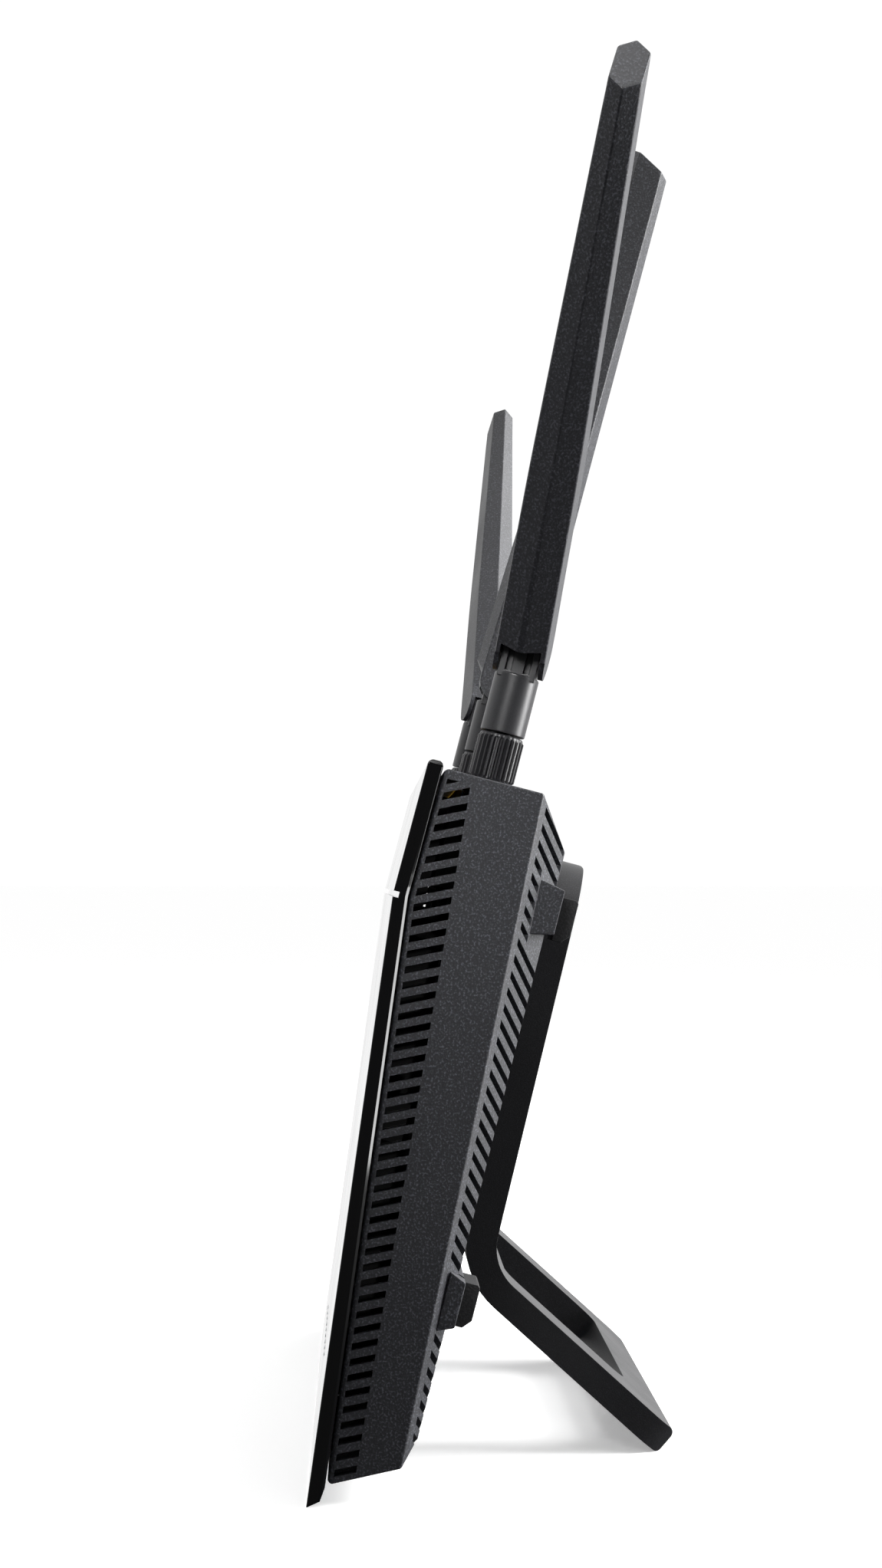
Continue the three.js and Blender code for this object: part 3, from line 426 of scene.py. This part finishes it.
def rounded(corners, steps=10):
    """The outline's points: a corner given as (u, v, radius) is rounded by an arc."""
    points = []
    for index, (u, v, *radius) in enumerate(corners):
        corner = Vector((u, v))
        if not radius:
            points.append(corner)
            continue
        before = (Vector(corners[index - 1][:2]) - corner).normalized()
        after = (Vector(corners[(index + 1) % len(corners)][:2]) - corner).normalized()
        half = before.angle(after) / 2
        centre = corner + (before + after).normalized() * radius[0] / math.sin(half)
        start = corner + before * radius[0] / math.tan(half) - centre
        end = corner + after * radius[0] / math.tan(half) - centre
        turn = math.atan2(start.x * end.y - start.y * end.x, start.dot(end))
        for step in range(steps + 1):
            angle = turn * step / steps
            cosine, sine = math.cos(angle), math.sin(angle)
            arm = Vector((start.x * cosine - start.y * sine, start.x * sine + start.y * cosine))
            points.append(centre + arm)
    return points


def close_between(bm, lower, upper):
    """Quads between two rings of as many points."""
    for index in range(len(lower)):
        bm.faces.new((lower[index - 1], lower[index], upper[index], upper[index - 1]))


def add_prism(bm, corners, axis, low, high, steps=10):
    points = rounded(corners, steps)
    place = PLACES[axis]
    rings = [[bm.verts.new(place(u, v, w)) for u, v in points] for w in (low, high)]
    bm.faces.new(rings[0])
    bm.faces.new(rings[1])
    close_between(bm, *rings)


def add_box(bm, x0, x1, y0, y1, z0, z1):
    add_prism(bm, [(x0, y0), (x1, y0), (x1, y1), (x0, y1)], "Z", z0, z1)


def add_rings(bm, rings):
    """A closed body through rings of points, with flat ends."""
    made = [[bm.verts.new(point) for point in ring] for ring in rings]
    bm.faces.new(made[0])
    bm.faces.new(made[-1])
    for lower, upper in zip(made, made[1:]):
        close_between(bm, lower, upper)


def circle(radius, height, segments, x=0.0, y=0.0):
    turns = [2 * math.pi * index / segments for index in range(segments)]
    return [(x + radius * math.cos(turn), y + radius * math.sin(turn), height) for turn in turns]


def add_turned(bm, profile, segments=64, x=0.0, y=0.0):
    """A piece turned about a vertical axis, from (radius, height) points."""
    add_rings(bm, [circle(radius, height, segments, x, y) for radius, height in profile])


def add_rod_along_y(bm, radius, x, y0, y1, z, segments=32):
    ring = circle(radius, 0, segments)
    add_rings(bm, [[(x + u, y, z + v) for u, v, _ in ring] for y in (y0, y1)])


def rounded_box(u0, u1, v0, v1, radius):
    return [(u0, v0, radius), (u1, v0, radius), (u1, v1, radius), (u0, v1, radius)]


def shape(name, draw, *details):
    """A new object whose mesh is what draw(bm, *details) makes."""
    bm = bmesh.new()
    draw(bm, *details)
    bmesh.ops.recalc_face_normals(bm, faces=bm.faces)
    mesh = bpy.data.meshes.new(name)
    bm.to_mesh(mesh)
    bm.free()
    obj = bpy.data.objects.new(name, mesh)
    bpy.context.scene.collection.objects.link(obj)
    return obj


def combine(target, tool, operation):
    """Cuts, joins or trims target with tool, which is used up."""
    modifier = target.modifiers.new("boolean", "BOOLEAN")
    modifier.object = tool
    modifier.operation = operation
    modifier.solver = "EXACT"
    modifier.use_self = True
    evaluated = target.evaluated_get(bpy.context.evaluated_depsgraph_get())
    mesh = bpy.data.meshes.new_from_object(evaluated)
    target.modifiers.clear()
    target.data = mesh
    bpy.data.objects.remove(tool)


def is_sharp(edge, angle=SHARP_FROM):
    return len(edge.link_faces) == 2 and edge.calc_face_angle() > math.radians(angle)


def bevel_edges(obj, width, segments=3, wanted=is_sharp):
    bm = bmesh.new()
    bm.from_mesh(obj.data)
    edges = [edge for edge in bm.edges if wanted(edge)]
    bmesh.ops.bevel(bm, geom=edges, offset=width, segments=segments, profile=0.5, affect="EDGES",
                    clamp_overlap=False, miter_outer="SHARP")
    bm.to_mesh(obj.data)
    bm.free()


def settle(obj, place, body, slot_name, *nodes):
    """Puts a finished piece in its place, with its look, on its body, for the CAD nodes it stands for."""
    obj.data.transform(place)
    for polygon in obj.data.polygons:
        polygon.use_smooth = True
    obj.data.set_sharp_from_angle(angle=math.radians(SHADING_BREAK))
    weighted = obj.modifiers.new("weighted", "WEIGHTED_NORMAL")
    weighted.keep_sharp = True
    obj.data.materials.append(LOOKS[slot_name])
    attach(obj, body)
    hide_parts(*nodes)


def mirrored_copies(draw):
    """A drawing made on both sides of the plane x = 0."""
    def both(bm, *details):
        draw(bm, *details)
        copy = bmesh.ops.duplicate(bm, geom=bm.verts[:] + bm.edges[:] + bm.faces[:])["geom"]
        bmesh.ops.scale(bm, vec=(-1, 1, 1), verts=[v for v in copy if isinstance(v, bmesh.types.BMVert)])
    return both


# ---------------------------------------------------------------- the body's measures, in millimetres

PIVOT = Vector((0, -11.2, 172.7))
PIVOT_PLACE = Vector(JOINTS["antenna_fold_centre"]["pos_m"])
BODY_ORIGIN = PIVOT_PLACE - (BACKWARD * PIVOT.y + UPRIGHT * PIVOT.z) * MM
BODY = body_frame(BODY_ORIGIN)
GAP = 0.3

COVER_HALF_WIDTH = 103.5
COVER_TOP = 146.0
COVER_SKIN = 1.9
FACE_UPPER = -24.6
CREASE = Vector((-24.8, 118.4))
COVER_FOOT = Vector((-11.2, -1.4))
COVER_LIP = (-8.9, 0.4)
RIM_TOP = Vector((-21.4, 146.0))
RIM_CREASE = Vector((-21.8, 118.5))
RIM_BOTTOM = Vector((-8.6, 3.2))

CASE_HALF_WIDTH = 102.0
CASE_WALL = 2.0
PORTS_TOP = 144.9
BACK = 6.9
BACK_TOP = 135.0
BACK_BOTTOM = 16.0
EDGE_TOP = -0.9
EDGE_BOTTOM = Vector((4.95, 10.1))
EDGE_LEAN = (EDGE_BOTTOM.x - EDGE_TOP) / (EDGE_BOTTOM.y - PORTS_TOP)
FLANK_RUN = 1.6
VENT_HEIGHT = 1.55
# Height and outer end of each pair of foot bosses.
UPPER_BOSS, LOWER_BOSS = (122.9, 96.6), (43.3, 100.2)


def line_at(start, end, height):
    """y at that height on the line between two (y, z) points."""
    return start.x + (end.x - start.x) * (height - start.y) / (end.y - start.y)


def front_at(height):
    return FACE_UPPER if height > CREASE.y else line_at(CREASE, COVER_FOOT, height)


def rim_at(height):
    if height > RIM_CREASE.y:
        return line_at(RIM_TOP, RIM_CREASE, height)
    return line_at(RIM_CREASE, RIM_BOTTOM, height)


def edge_at(height):
    return EDGE_TOP + EDGE_LEAN * (height - PORTS_TOP)


# ---------------------------------------------------------------- rear case


def draw_case_blank(bm, inset):
    """The case's outer shape, or its hollow when inset by the wall."""
    past_rim = -8.0
    out = past_rim if inset else GAP
    back = BACK - inset
    half = CASE_HALF_WIDTH - inset
    flank_inset = 1.18 * inset
    add_prism(bm, [
        (rim_at(PORTS_TOP) + out, PORTS_TOP - inset),
        (EDGE_TOP, PORTS_TOP - inset),
        (back, BACK_TOP - inset / 2),
        (back, BACK_BOTTOM + inset / 2),
        (EDGE_BOTTOM.x - inset / 2, EDGE_BOTTOM.y + inset),
        (RIM_BOTTOM.x + out, RIM_BOTTOM.y + inset + GAP),
        (RIM_CREASE.x + out, RIM_CREASE.y),
    ], "X", -half, half)
    for sign in (1, -1):
        cut = bmesh.ops.bisect_plane(
            bm, geom=bm.verts[:] + bm.edges[:] + bm.faces[:], dist=1e-5,
            plane_co=(sign * CASE_HALF_WIDTH, EDGE_TOP - flank_inset, PORTS_TOP),
            plane_no=(sign / FLANK_RUN, 1, -EDGE_LEAN), clear_outer=True)["geom_cut"]
        rim = [piece for piece in cut if isinstance(piece, bmesh.types.BMEdge)]
        bmesh.ops.contextual_create(bm, geom=rim)


def draw_foot_bosses(bm):
    inner, height, flare, top = 74, 9.1, 1.4, 8.4
    for z, outer in (UPPER_BOSS, LOWER_BOSS):
        base = edge_at(z) + 1.5
        low, high = z - height / 2, z + height / 2
        section = [(base, low - flare), (top, low), (top, high), (base, high + flare)]
        add_prism(bm, section, "X", inner, outer)


def draw_side_bars(bm):
    count, pitch, tilt, top, front = 45, 3.24, math.radians(25.5), 151.4, -30
    for index in range(count):
        z = top - pitch * index
        low = z + front * math.tan(tilt)
        bar = [(front, low), (0, z), (0, z + VENT_HEIGHT), (front, low + VENT_HEIGHT)]
        add_prism(bm, bar, "X", CASE_HALF_WIDTH - 3, CASE_HALF_WIDTH + 3)


def draw_side_band(bm):
    """The zone of the side walls in which the bars are cut."""
    margin, top, bottom = 1.4, 143, 5
    back_at_top, back_at_bottom = -15.3, -3.2
    add_prism(bm, [
        (rim_at(top) + margin, top),
        (RIM_CREASE.x + margin, RIM_CREASE.y),
        (rim_at(bottom) + margin, bottom),
        (back_at_bottom, bottom),
        (back_at_top, top),
    ], "X", CASE_HALF_WIDTH - 4, CASE_HALF_WIDTH + 4)


def draw_flank_slots(bm):
    """No slots beside the lower bosses, and short ones beside the upper bosses."""
    count, pitch, top, start, run, fall = 39, 3.3, 141, 100.2, 9.6, 0.73
    below, above_lower, above_upper, margin = 6, 8, 10, 0.4
    (upper, upper_outer), (lower, _) = UPPER_BOSS, LOWER_BOSS
    for index in range(count):
        z = top - pitch * index
        if lower - below < z < lower + above_lower:
            continue
        beside_upper = upper - below < z < upper + above_upper
        length = start - upper_outer - margin if beside_upper else run
        low = z - fall * length
        end = start - length
        slot = [(start, z), (start, z + VENT_HEIGHT), (end, low + VENT_HEIGHT), (end, low)]
        add_prism(bm, slot, "Y", edge_at(z) - 2.6, BACK + 3)


def draw_back_vents(bm):
    rows, lowest, pitch, height, corner = 8, 60, 6, 2.2, 1.05
    inner, outer = 63, 82
    for row in range(rows):
        z = lowest + row * pitch
        add_prism(bm, rounded_box(inner, outer, z, z + height, corner), "Y", 3, 10, steps=6)


# Where the sockets, the buttons and the antennas stand in the upper face.
SOCKET_Y = -10.6
LAN_X = (18.7, 35.2, 51.7, 68.2)
WAN_X = -18.7
USB_X = -35.5
DC_X = -49.4
POWER_X, RESET_X, WPS_X = -59.6, -67, -74
ANTENNA_X = (86, 0, -86)


def draw_socket_cutouts(bm):
    low, high = PORTS_TOP - 4, PORTS_TOP + 4
    oblongs = [(x, 14.4, 12.4, 0.5) for x in (WAN_X, *LAN_X)]
    oblongs += [(USB_X, 13.8, 6.2, 0.5), (POWER_X, 8, 8, 0.8), (WPS_X, 6.4, 6.4, 0.8)]
    for x, width, depth, radius in oblongs:
        left, right = x - width / 2, x + width / 2
        front, back = SOCKET_Y - depth / 2, SOCKET_Y + depth / 2
        add_prism(bm, rounded_box(left, right, front, back, radius), "Z", low, high, steps=4)
    holes = [(DC_X, SOCKET_Y, 4.2), (RESET_X, SOCKET_Y, 1.7)]
    holes += [(x, PIVOT.y, 3.4) for x in ANTENNA_X]
    for x, y, radius in holes:
        add_turned(bm, [(radius, low), (radius, high)], 32, x, y)


# The stand's hooks, and the posts that the case's screws go into.
HOOK_X, HOOK_HALF, HOOK_NECK, RELEASE_TRAVEL = 48, 4.5, 4, 6
HOOK_HEIGHTS = (72, 116)
POSTS = ((66, 112), (-66, 112), (80, 20), (-80, 20))


def draw_hook_slots(bm):
    slack = 0.5
    for z in HOOK_HEIGHTS:
        add_box(bm, HOOK_X - HOOK_HALF - slack, HOOK_X + HOOK_HALF + slack, 0, 10,
                z - RELEASE_TRAVEL - slack, z + HOOK_NECK + GAP)


def draw_screw_holes(bm):
    shank, head, seat = 1.7, 3.2, BACK - 1.3
    for x, z in POSTS:
        add_rings(bm, [
            [(x + u, y, z + v) for u, v, _ in circle(radius, 0, 32)]
            for radius, y in ((shank, 3), (shank, seat), (head, seat), (head, 9))
        ])


def is_rim_edge(edge):
    """The case's edges along the joint line with the cover."""
    return is_sharp(edge) and all(abs(v.co.y - rim_at(v.co.z) - GAP) < 0.35 for v in edge.verts)


def rear_case():
    case = shape("rear_case_shell", draw_case_blank, 0)
    bevel_edges(case, width=0.7, segments=1, wanted=is_rim_edge)
    bevel_edges(case, width=0.32, segments=3, wanted=lambda edge: is_sharp(edge, 24))
    bosses = shape("bosses", mirrored_copies(draw_foot_bosses))
    bevel_edges(bosses, width=0.3, segments=2)
    combine(case, bosses, "UNION")
    combine(case, shape("hollow", draw_case_blank, CASE_WALL), "DIFFERENCE")
    bars = shape("bars", mirrored_copies(draw_side_bars))
    combine(bars, shape("band", mirrored_copies(draw_side_band)), "INTERSECT")
    combine(case, bars, "DIFFERENCE")
    for draw in (mirrored_copies(draw_flank_slots), mirrored_copies(draw_back_vents), draw_socket_cutouts,
                 mirrored_copies(draw_hook_slots), draw_screw_holes):
        combine(case, shape("cutter", draw), "DIFFERENCE")
    settle(case, BODY, "router_body", "case_black", "rear_case")


rear_case()


# ---------------------------------------------------------------- front cover

# What the cover carries: light windows, screw posts, snap tabs and two ribs.
LED_X = [8 * step for step in range(-4, 5)]
LED_Z = 16
LED_HALF_WIDTH, LED_HALF_HEIGHT = 1.7, 0.65
POST_RADIUS, POST_BORE, POST_BORE_FRONT = 3.2, 1.55, -6.4
TAB_Z, TAB_HALF, TAB_THICKNESS, TAB_REACH = 75, 4, 1.6, 9
BORDER = 4.5
RIB_X, RIB_HALF, RIB_BOTTOM, RIB_STEP, RIB_TOP = 59.7, 0.7, 14, 117, 141
BOARD_FRONT, SOCKET_FRONT = -3.4, -17.1


def draw_cover_blank(bm):
    add_prism(bm, [
        (FACE_UPPER, COVER_TOP),
        tuple(CREASE),
        tuple(COVER_FOOT),
        COVER_LIP,
        tuple(RIM_BOTTOM),
        tuple(RIM_CREASE),
        tuple(RIM_TOP),
    ], "X", -COVER_HALF_WIDTH, COVER_HALF_WIDTH)


def is_top_corner(edge):
    """The cover's two upper corners."""
    return all(abs(abs(v.co.x) - COVER_HALF_WIDTH) < 0.01 and v.co.z > COVER_TOP - 0.01 for v in edge.verts)


def is_cover_rim(edge):
    """The long rear edges of the cover's two sides."""
    return is_sharp(edge) and all(
        abs(abs(v.co.x) - COVER_HALF_WIDTH) < 0.01 and abs(v.co.y - rim_at(v.co.z)) < 0.1 for v in edge.verts)


def draw_cover_pocket(bm):
    top, bottom, behind = COVER_TOP - BORDER, 10, 3
    add_prism(bm, [
        (FACE_UPPER + COVER_SKIN, top),
        (CREASE.x + COVER_SKIN, CREASE.y),
        (front_at(bottom) + COVER_SKIN, bottom),
        (rim_at(bottom) + behind, bottom),
        (RIM_CREASE.x + behind, CREASE.y),
        (RIM_TOP.x + behind, top),
    ], "X", BORDER - COVER_HALF_WIDTH, COVER_HALF_WIDTH - BORDER)


def draw_crease_groove(bm):
    depth, half = 1.2, 0.6
    wide = COVER_HALF_WIDTH + 1
    add_box(bm, -wide, wide, CREASE.x - 1, CREASE.x + depth, CREASE.y - half, CREASE.y + half)


def draw_light_windows(bm):
    face = front_at(LED_Z)
    for x in LED_X:
        add_box(bm, x - LED_HALF_WIDTH, x + LED_HALF_WIDTH, face - 2, face + 4,
                LED_Z - LED_HALF_HEIGHT, LED_Z + LED_HALF_HEIGHT)


def draw_posts_tabs_and_ribs(bm):
    for x, z in POSTS:
        add_rod_along_y(bm, POST_RADIUS, x, front_at(z) + 1, BACK - CASE_WALL - GAP, z)
    out = CASE_HALF_WIDTH - CASE_WALL - GAP
    front = front_at(TAB_Z)
    for low, high in ((out - TAB_THICKNESS, out), (-out, TAB_THICKNESS - out)):
        add_box(bm, low, high, front + 1, front + TAB_REACH, TAB_Z - TAB_HALF, TAB_Z + TAB_HALF)
    rib = [
        (FACE_UPPER + 1, RIB_TOP),
        (FACE_UPPER + 1, CREASE.y),
        (front_at(RIB_BOTTOM) + 1, RIB_BOTTOM),
        (BOARD_FRONT - GAP, RIB_BOTTOM),
        (BOARD_FRONT - GAP, RIB_STEP),
        (SOCKET_FRONT - GAP, RIB_STEP),
        (SOCKET_FRONT - GAP, RIB_TOP),
    ]
    for x in (RIB_X, -RIB_X):
        add_prism(bm, rib, "X", x - RIB_HALF, x + RIB_HALF)


def draw_post_bores(bm):
    for x, z in POSTS:
        add_rod_along_y(bm, POST_BORE, x, POST_BORE_FRONT, BACK, z, 24)


def front_cover():
    cover = shape("front_cover_shell", draw_cover_blank)
    bevel_edges(cover, width=1.2, segments=6, wanted=is_top_corner)
    bevel_edges(cover, width=0.5, segments=1, wanted=is_cover_rim)
    bevel_edges(cover, width=0.25, segments=3, wanted=lambda edge: is_sharp(edge, 50))
    for draw in (draw_cover_pocket, draw_crease_groove, draw_light_windows):
        combine(cover, shape("cutter", draw), "DIFFERENCE")
    combine(cover, shape("posts", draw_posts_tabs_and_ribs), "UNION")
    combine(cover, shape("bores", draw_post_bores), "DIFFERENCE")
    settle(cover, BODY, "router_body", "gloss_black", "front_cover")


front_cover()


# ---------------------------------------------------------------- antennas

BLADE_TOP = 128.9
BLADE_BOTTOM = -6.0
# Half sizes of the blade's section where its taper starts and at its tip.
RIDGE, FLAT, THICK = (7.05, 4.85), (5, 3.1), (5.85, 3)
TAPER_START, SOFT_UNTIL = 3, 55
TIP_SLANT = 0.52
EDGE_ROUND = 0.55


def mix(low, high, share):
    return low + (high - low) * share


def smoothstep(value, low, high):
    share = min(1, max(0, (value - low) / (high - low)))
    return share * share * (3 - 2 * share)


def blade_outline(height, shrink=0.0):
    """The blade's section: a hexagon with a ridge on each edge, which rounds off towards the fork."""
    share = min(1, max(0, (height - TAPER_START) / (BLADE_TOP - TAPER_START)))
    ridge, flat, thick = (mix(*ends, share) - shrink for ends in (RIDGE, FLAT, THICK))
    hexagon = [(ridge, 0), (flat, thick), (-flat, thick), (-ridge, 0), (-flat, -thick), (flat, -thick)]
    sharp = rounded([(u, v, EDGE_ROUND) for u, v in hexagon], steps=6)
    soft_share = 1 - smoothstep(height, 0, SOFT_UNTIL)
    if soft_share == 0:
        return sharp
    power = 0.62
    points = []
    for point in sharp:
        angle = math.atan2(point.y / thick, point.x / ridge)
        soft = Vector((
            math.copysign(ridge * abs(math.cos(angle)) ** power, math.cos(angle)),
            math.copysign(thick * abs(math.sin(angle)) ** power, math.sin(angle)),
        ))
        points.append(point.lerp(soft, soft_share))
    return points


def draw_blade(bm):
    """Rings up the blade, and two more that round the slanted tip."""
    steps = 48
    heights = [BLADE_BOTTOM + (BLADE_TOP - BLADE_BOTTOM) * step / steps for step in range(steps + 1)]
    levels = [(height, 0) for height in heights[:-1]]
    levels += [(BLADE_TOP - 0.45, 0), (BLADE_TOP - 0.12, 0.13), (BLADE_TOP, 0.45)]
    rings = []
    for height, shrink in levels:
        slant = TIP_SLANT * smoothstep(height, heights[-4], heights[-2])
        rings.append([(u, v, height - slant * u) for u, v in blade_outline(height, shrink)])
    add_rings(bm, rings)


def draw_blade_side(bm):
    """The outline that the blade is trimmed to: narrow prongs with a round end, under its shoulders."""
    end, wide, shoulder, above = 4.9, 9, 4.5, 140
    radius = end - 0.05
    add_prism(bm, [
        (-wide, 2), (-7.6, shoulder), (-end - 0.4, 1.6), (-end, -end, radius), (end, -end, radius),
        (end, 2.05), (wide, shoulder), (wide, above), (-wide, above),
    ], "Y", -8, 8, steps=12)


def draw_fork(bm):
    """The gap between the blade's prongs, open below and on the side that the blade folds to."""
    half, closed, past, top, corner = 4.2, -4.7, 9, 4.9, 2.4
    add_prism(bm, [(closed, -past), (past, -past), (past, top), (closed, top, corner)], "Y", -half, half)


def draw_pin_bore(bm):
    radius, reach = 1.5, 8
    add_rod_along_y(bm, radius, 0, -reach, reach, 0)


def blade(side):
    made = shape(f"blade_shell_{side}", draw_blade)
    combine(made, shape("side", draw_blade_side), "INTERSECT")
    combine(made, shape("fork", draw_fork), "DIFFERENCE")
    settle(made, blade_frame(side), f"blade_{side}", "blade_black", f"antenna_blade_{side}")


SLEEVE_BASE, SLEEVE_TOP = -17.4, -5.1


def draw_barrel(bm):
    """The barrel above the nut, and its neck and flange inside the nut."""
    flange, neck, radius = 3.1, 2.1, 4.6
    under = SLEEVE_BASE - 1.8
    add_turned(bm, [
        (flange, SLEEVE_BASE - 3), (flange, under), (neck, under), (neck, SLEEVE_BASE),
        (4.3, SLEEVE_BASE), (4.52, SLEEVE_BASE + 0.1), (radius, SLEEVE_BASE + 0.35),
        (radius, SLEEVE_TOP - 0.45), (4.5, SLEEVE_TOP - 0.15), (4.2, SLEEVE_TOP),
    ], 96)


def draw_knuckle(bm):
    """The sleeve's upper end: a neck, and a round head about the pin."""
    half, neck, top = 3.9, 3.6, 4
    root, radius = SLEEVE_TOP - 1, top - 0.05
    add_prism(bm, [
        (-neck, root), (neck, root), (neck, -1), (top, 0),
        (top, top, radius), (-top, top, radius), (-top, 0), (-neck, -1),
    ], "Y", -half, half, steps=12)


def draw_knuckle_grooves(bm):
    offset, half, bottom, past = 1.9, 0.6, 2.6, 6
    for y in (-offset, offset):
        add_box(bm, bottom, past, y - half, y + half, SLEEVE_TOP + 0.4, past)


def sleeve(side):
    made = shape(f"sleeve_barrel_{side}", draw_barrel)
    knuckle = shape("knuckle", draw_knuckle)
    combine(knuckle, shape("grooves", draw_knuckle_grooves), "DIFFERENCE")
    bevel_edges(knuckle, width=0.2, segments=2)
    combine(made, knuckle, "UNION")
    combine(made, shape("bore", draw_pin_bore), "DIFFERENCE")
    settle(made, sleeve_frame(side), f"sleeve_{side}", "sleeve_black", f"antenna_sleeve_{side}")


NUT_BOTTOM, NUT_TOP = -27.4, -17.7
TEETH = 26


def nut_ring(height, depth, radius=4.8):
    """One ring round the nut: each tooth has a flat crown and a rounded valley."""
    steps = 8
    ring = []
    for index in range(TEETH * steps):
        wave = math.cos(2 * math.pi * index / steps)
        crown = min(1, max(0, 0.5 + 0.9 * wave))
        reach = radius - depth * (1 - crown)
        turn = 2 * math.pi * index / (TEETH * steps)
        ring.append((reach * math.cos(turn), reach * math.sin(turn), height))
    return ring


def draw_nut(bm):
    deep = 0.65
    add_rings(bm, [
        nut_ring(NUT_BOTTOM, 0, 4.1),
        nut_ring(NUT_BOTTOM + 0.35, 0.1, 4.45),
        nut_ring(NUT_BOTTOM + 0.7, deep),
        nut_ring(NUT_TOP - 0.9, deep),
        nut_ring(NUT_TOP - 0.6, 0.12, 4.5),
        nut_ring(NUT_TOP - 0.2, 0, 4.4),
        nut_ring(NUT_TOP, 0, 4.15),
    ])


def draw_nut_bore(bm):
    wide, narrow, step = 3.4, 2.4, NUT_TOP - 1.1
    add_turned(bm, [(wide, NUT_BOTTOM - 1), (wide, step), (narrow, step), (narrow, NUT_TOP + 1)], 48)


def nut(side):
    made = shape(f"nut_ring_{side}", draw_nut)
    combine(made, shape("bore", draw_nut_bore), "DIFFERENCE")
    settle(made, sleeve_frame(side), f"nut_{side}", "sleeve_black", f"antenna_nut_{side}")


for side in SIDES:
    blade(side)
    sleeve(side)
    nut(side)


# ---------------------------------------------------------------- finishing of the CAD nodes


def smoothing_nodes(angle):
    """A modifier's nodes: merge the facets' corners, and smooth the edges that turn by less than angle."""
    tree = bpy.data.node_groups.new("smooth_by_angle", "GeometryNodeTree")
    tree.interface.new_socket("Geometry", in_out="INPUT", socket_type="NodeSocketGeometry")
    tree.interface.new_socket("Geometry", in_out="OUTPUT", socket_type="NodeSocketGeometry")
    add, link = tree.nodes.new, tree.links.new
    merge = add("GeometryNodeMergeByDistance")
    merge.inputs["Distance"].default_value = 1e-6
    strip = add("GeometryNodeRemoveAttribute")
    strip.inputs["Name"].default_value = "custom_normal"
    faces = add("GeometryNodeSetShadeSmooth")
    faces.domain = "FACE"
    edges = add("GeometryNodeSetShadeSmooth")
    edges.domain = "EDGE"
    bend = add("GeometryNodeInputMeshEdgeAngle")
    gentle = add("FunctionNodeCompare")
    gentle.data_type = "FLOAT"
    gentle.operation = "LESS_THAN"
    gentle.inputs["B"].default_value = math.radians(angle)
    link(add("NodeGroupInput").outputs["Geometry"], merge.inputs["Geometry"])
    link(merge.outputs["Geometry"], strip.inputs["Geometry"])
    link(strip.outputs["Geometry"], faces.inputs["Geometry"])
    link(faces.outputs["Geometry"], edges.inputs["Geometry"])
    link(bend.outputs["Unsigned Angle"], gentle.inputs["A"])
    link(gentle.outputs["Result"], edges.inputs["Shade Smooth"])
    link(edges.outputs["Geometry"], add("NodeGroupOutput").inputs["Geometry"])
    return tree


SMOOTHING = smoothing_nodes(SHARP_FROM)
COPLANAR_WITHIN = 0.6


def soften(obj, width):
    """Joins coplanar facets and rounds every sharp edge by width in metres."""
    smooth = obj.modifiers.new("smooth", "NODES")
    smooth.node_group = SMOOTHING
    flat = obj.modifiers.new("flat", "DECIMATE")
    flat.decimate_type = "DISSOLVE"
    flat.angle_limit = math.radians(COPLANAR_WITHIN)
    bevel = obj.modifiers.new("bevel", "BEVEL")
    bevel.width = width
    bevel.segments = 2
    bevel.limit_method = "ANGLE"
    bevel.angle_limit = math.radians(SHARP_FROM)
    bevel.miter_outer = "MITER_ARC"
    bevel.harden_normals = True


EDGE_RADIUS = {
    "stand": 0.7,
    "usb_port": 0.12,
    "dc_jack": 0.25,
    "main_board": 0.1,
    "light_board": 0.1,
    "processor_heat_sink": 0.15,
}
DEFAULT_EDGE = 0.15

for name, node in NODES.items():
    if node.hide_render:
        continue
    wear(node, SLOT_OF[name])
    soften(node, EDGE_RADIUS.get(name, DEFAULT_EDGE) * MM)
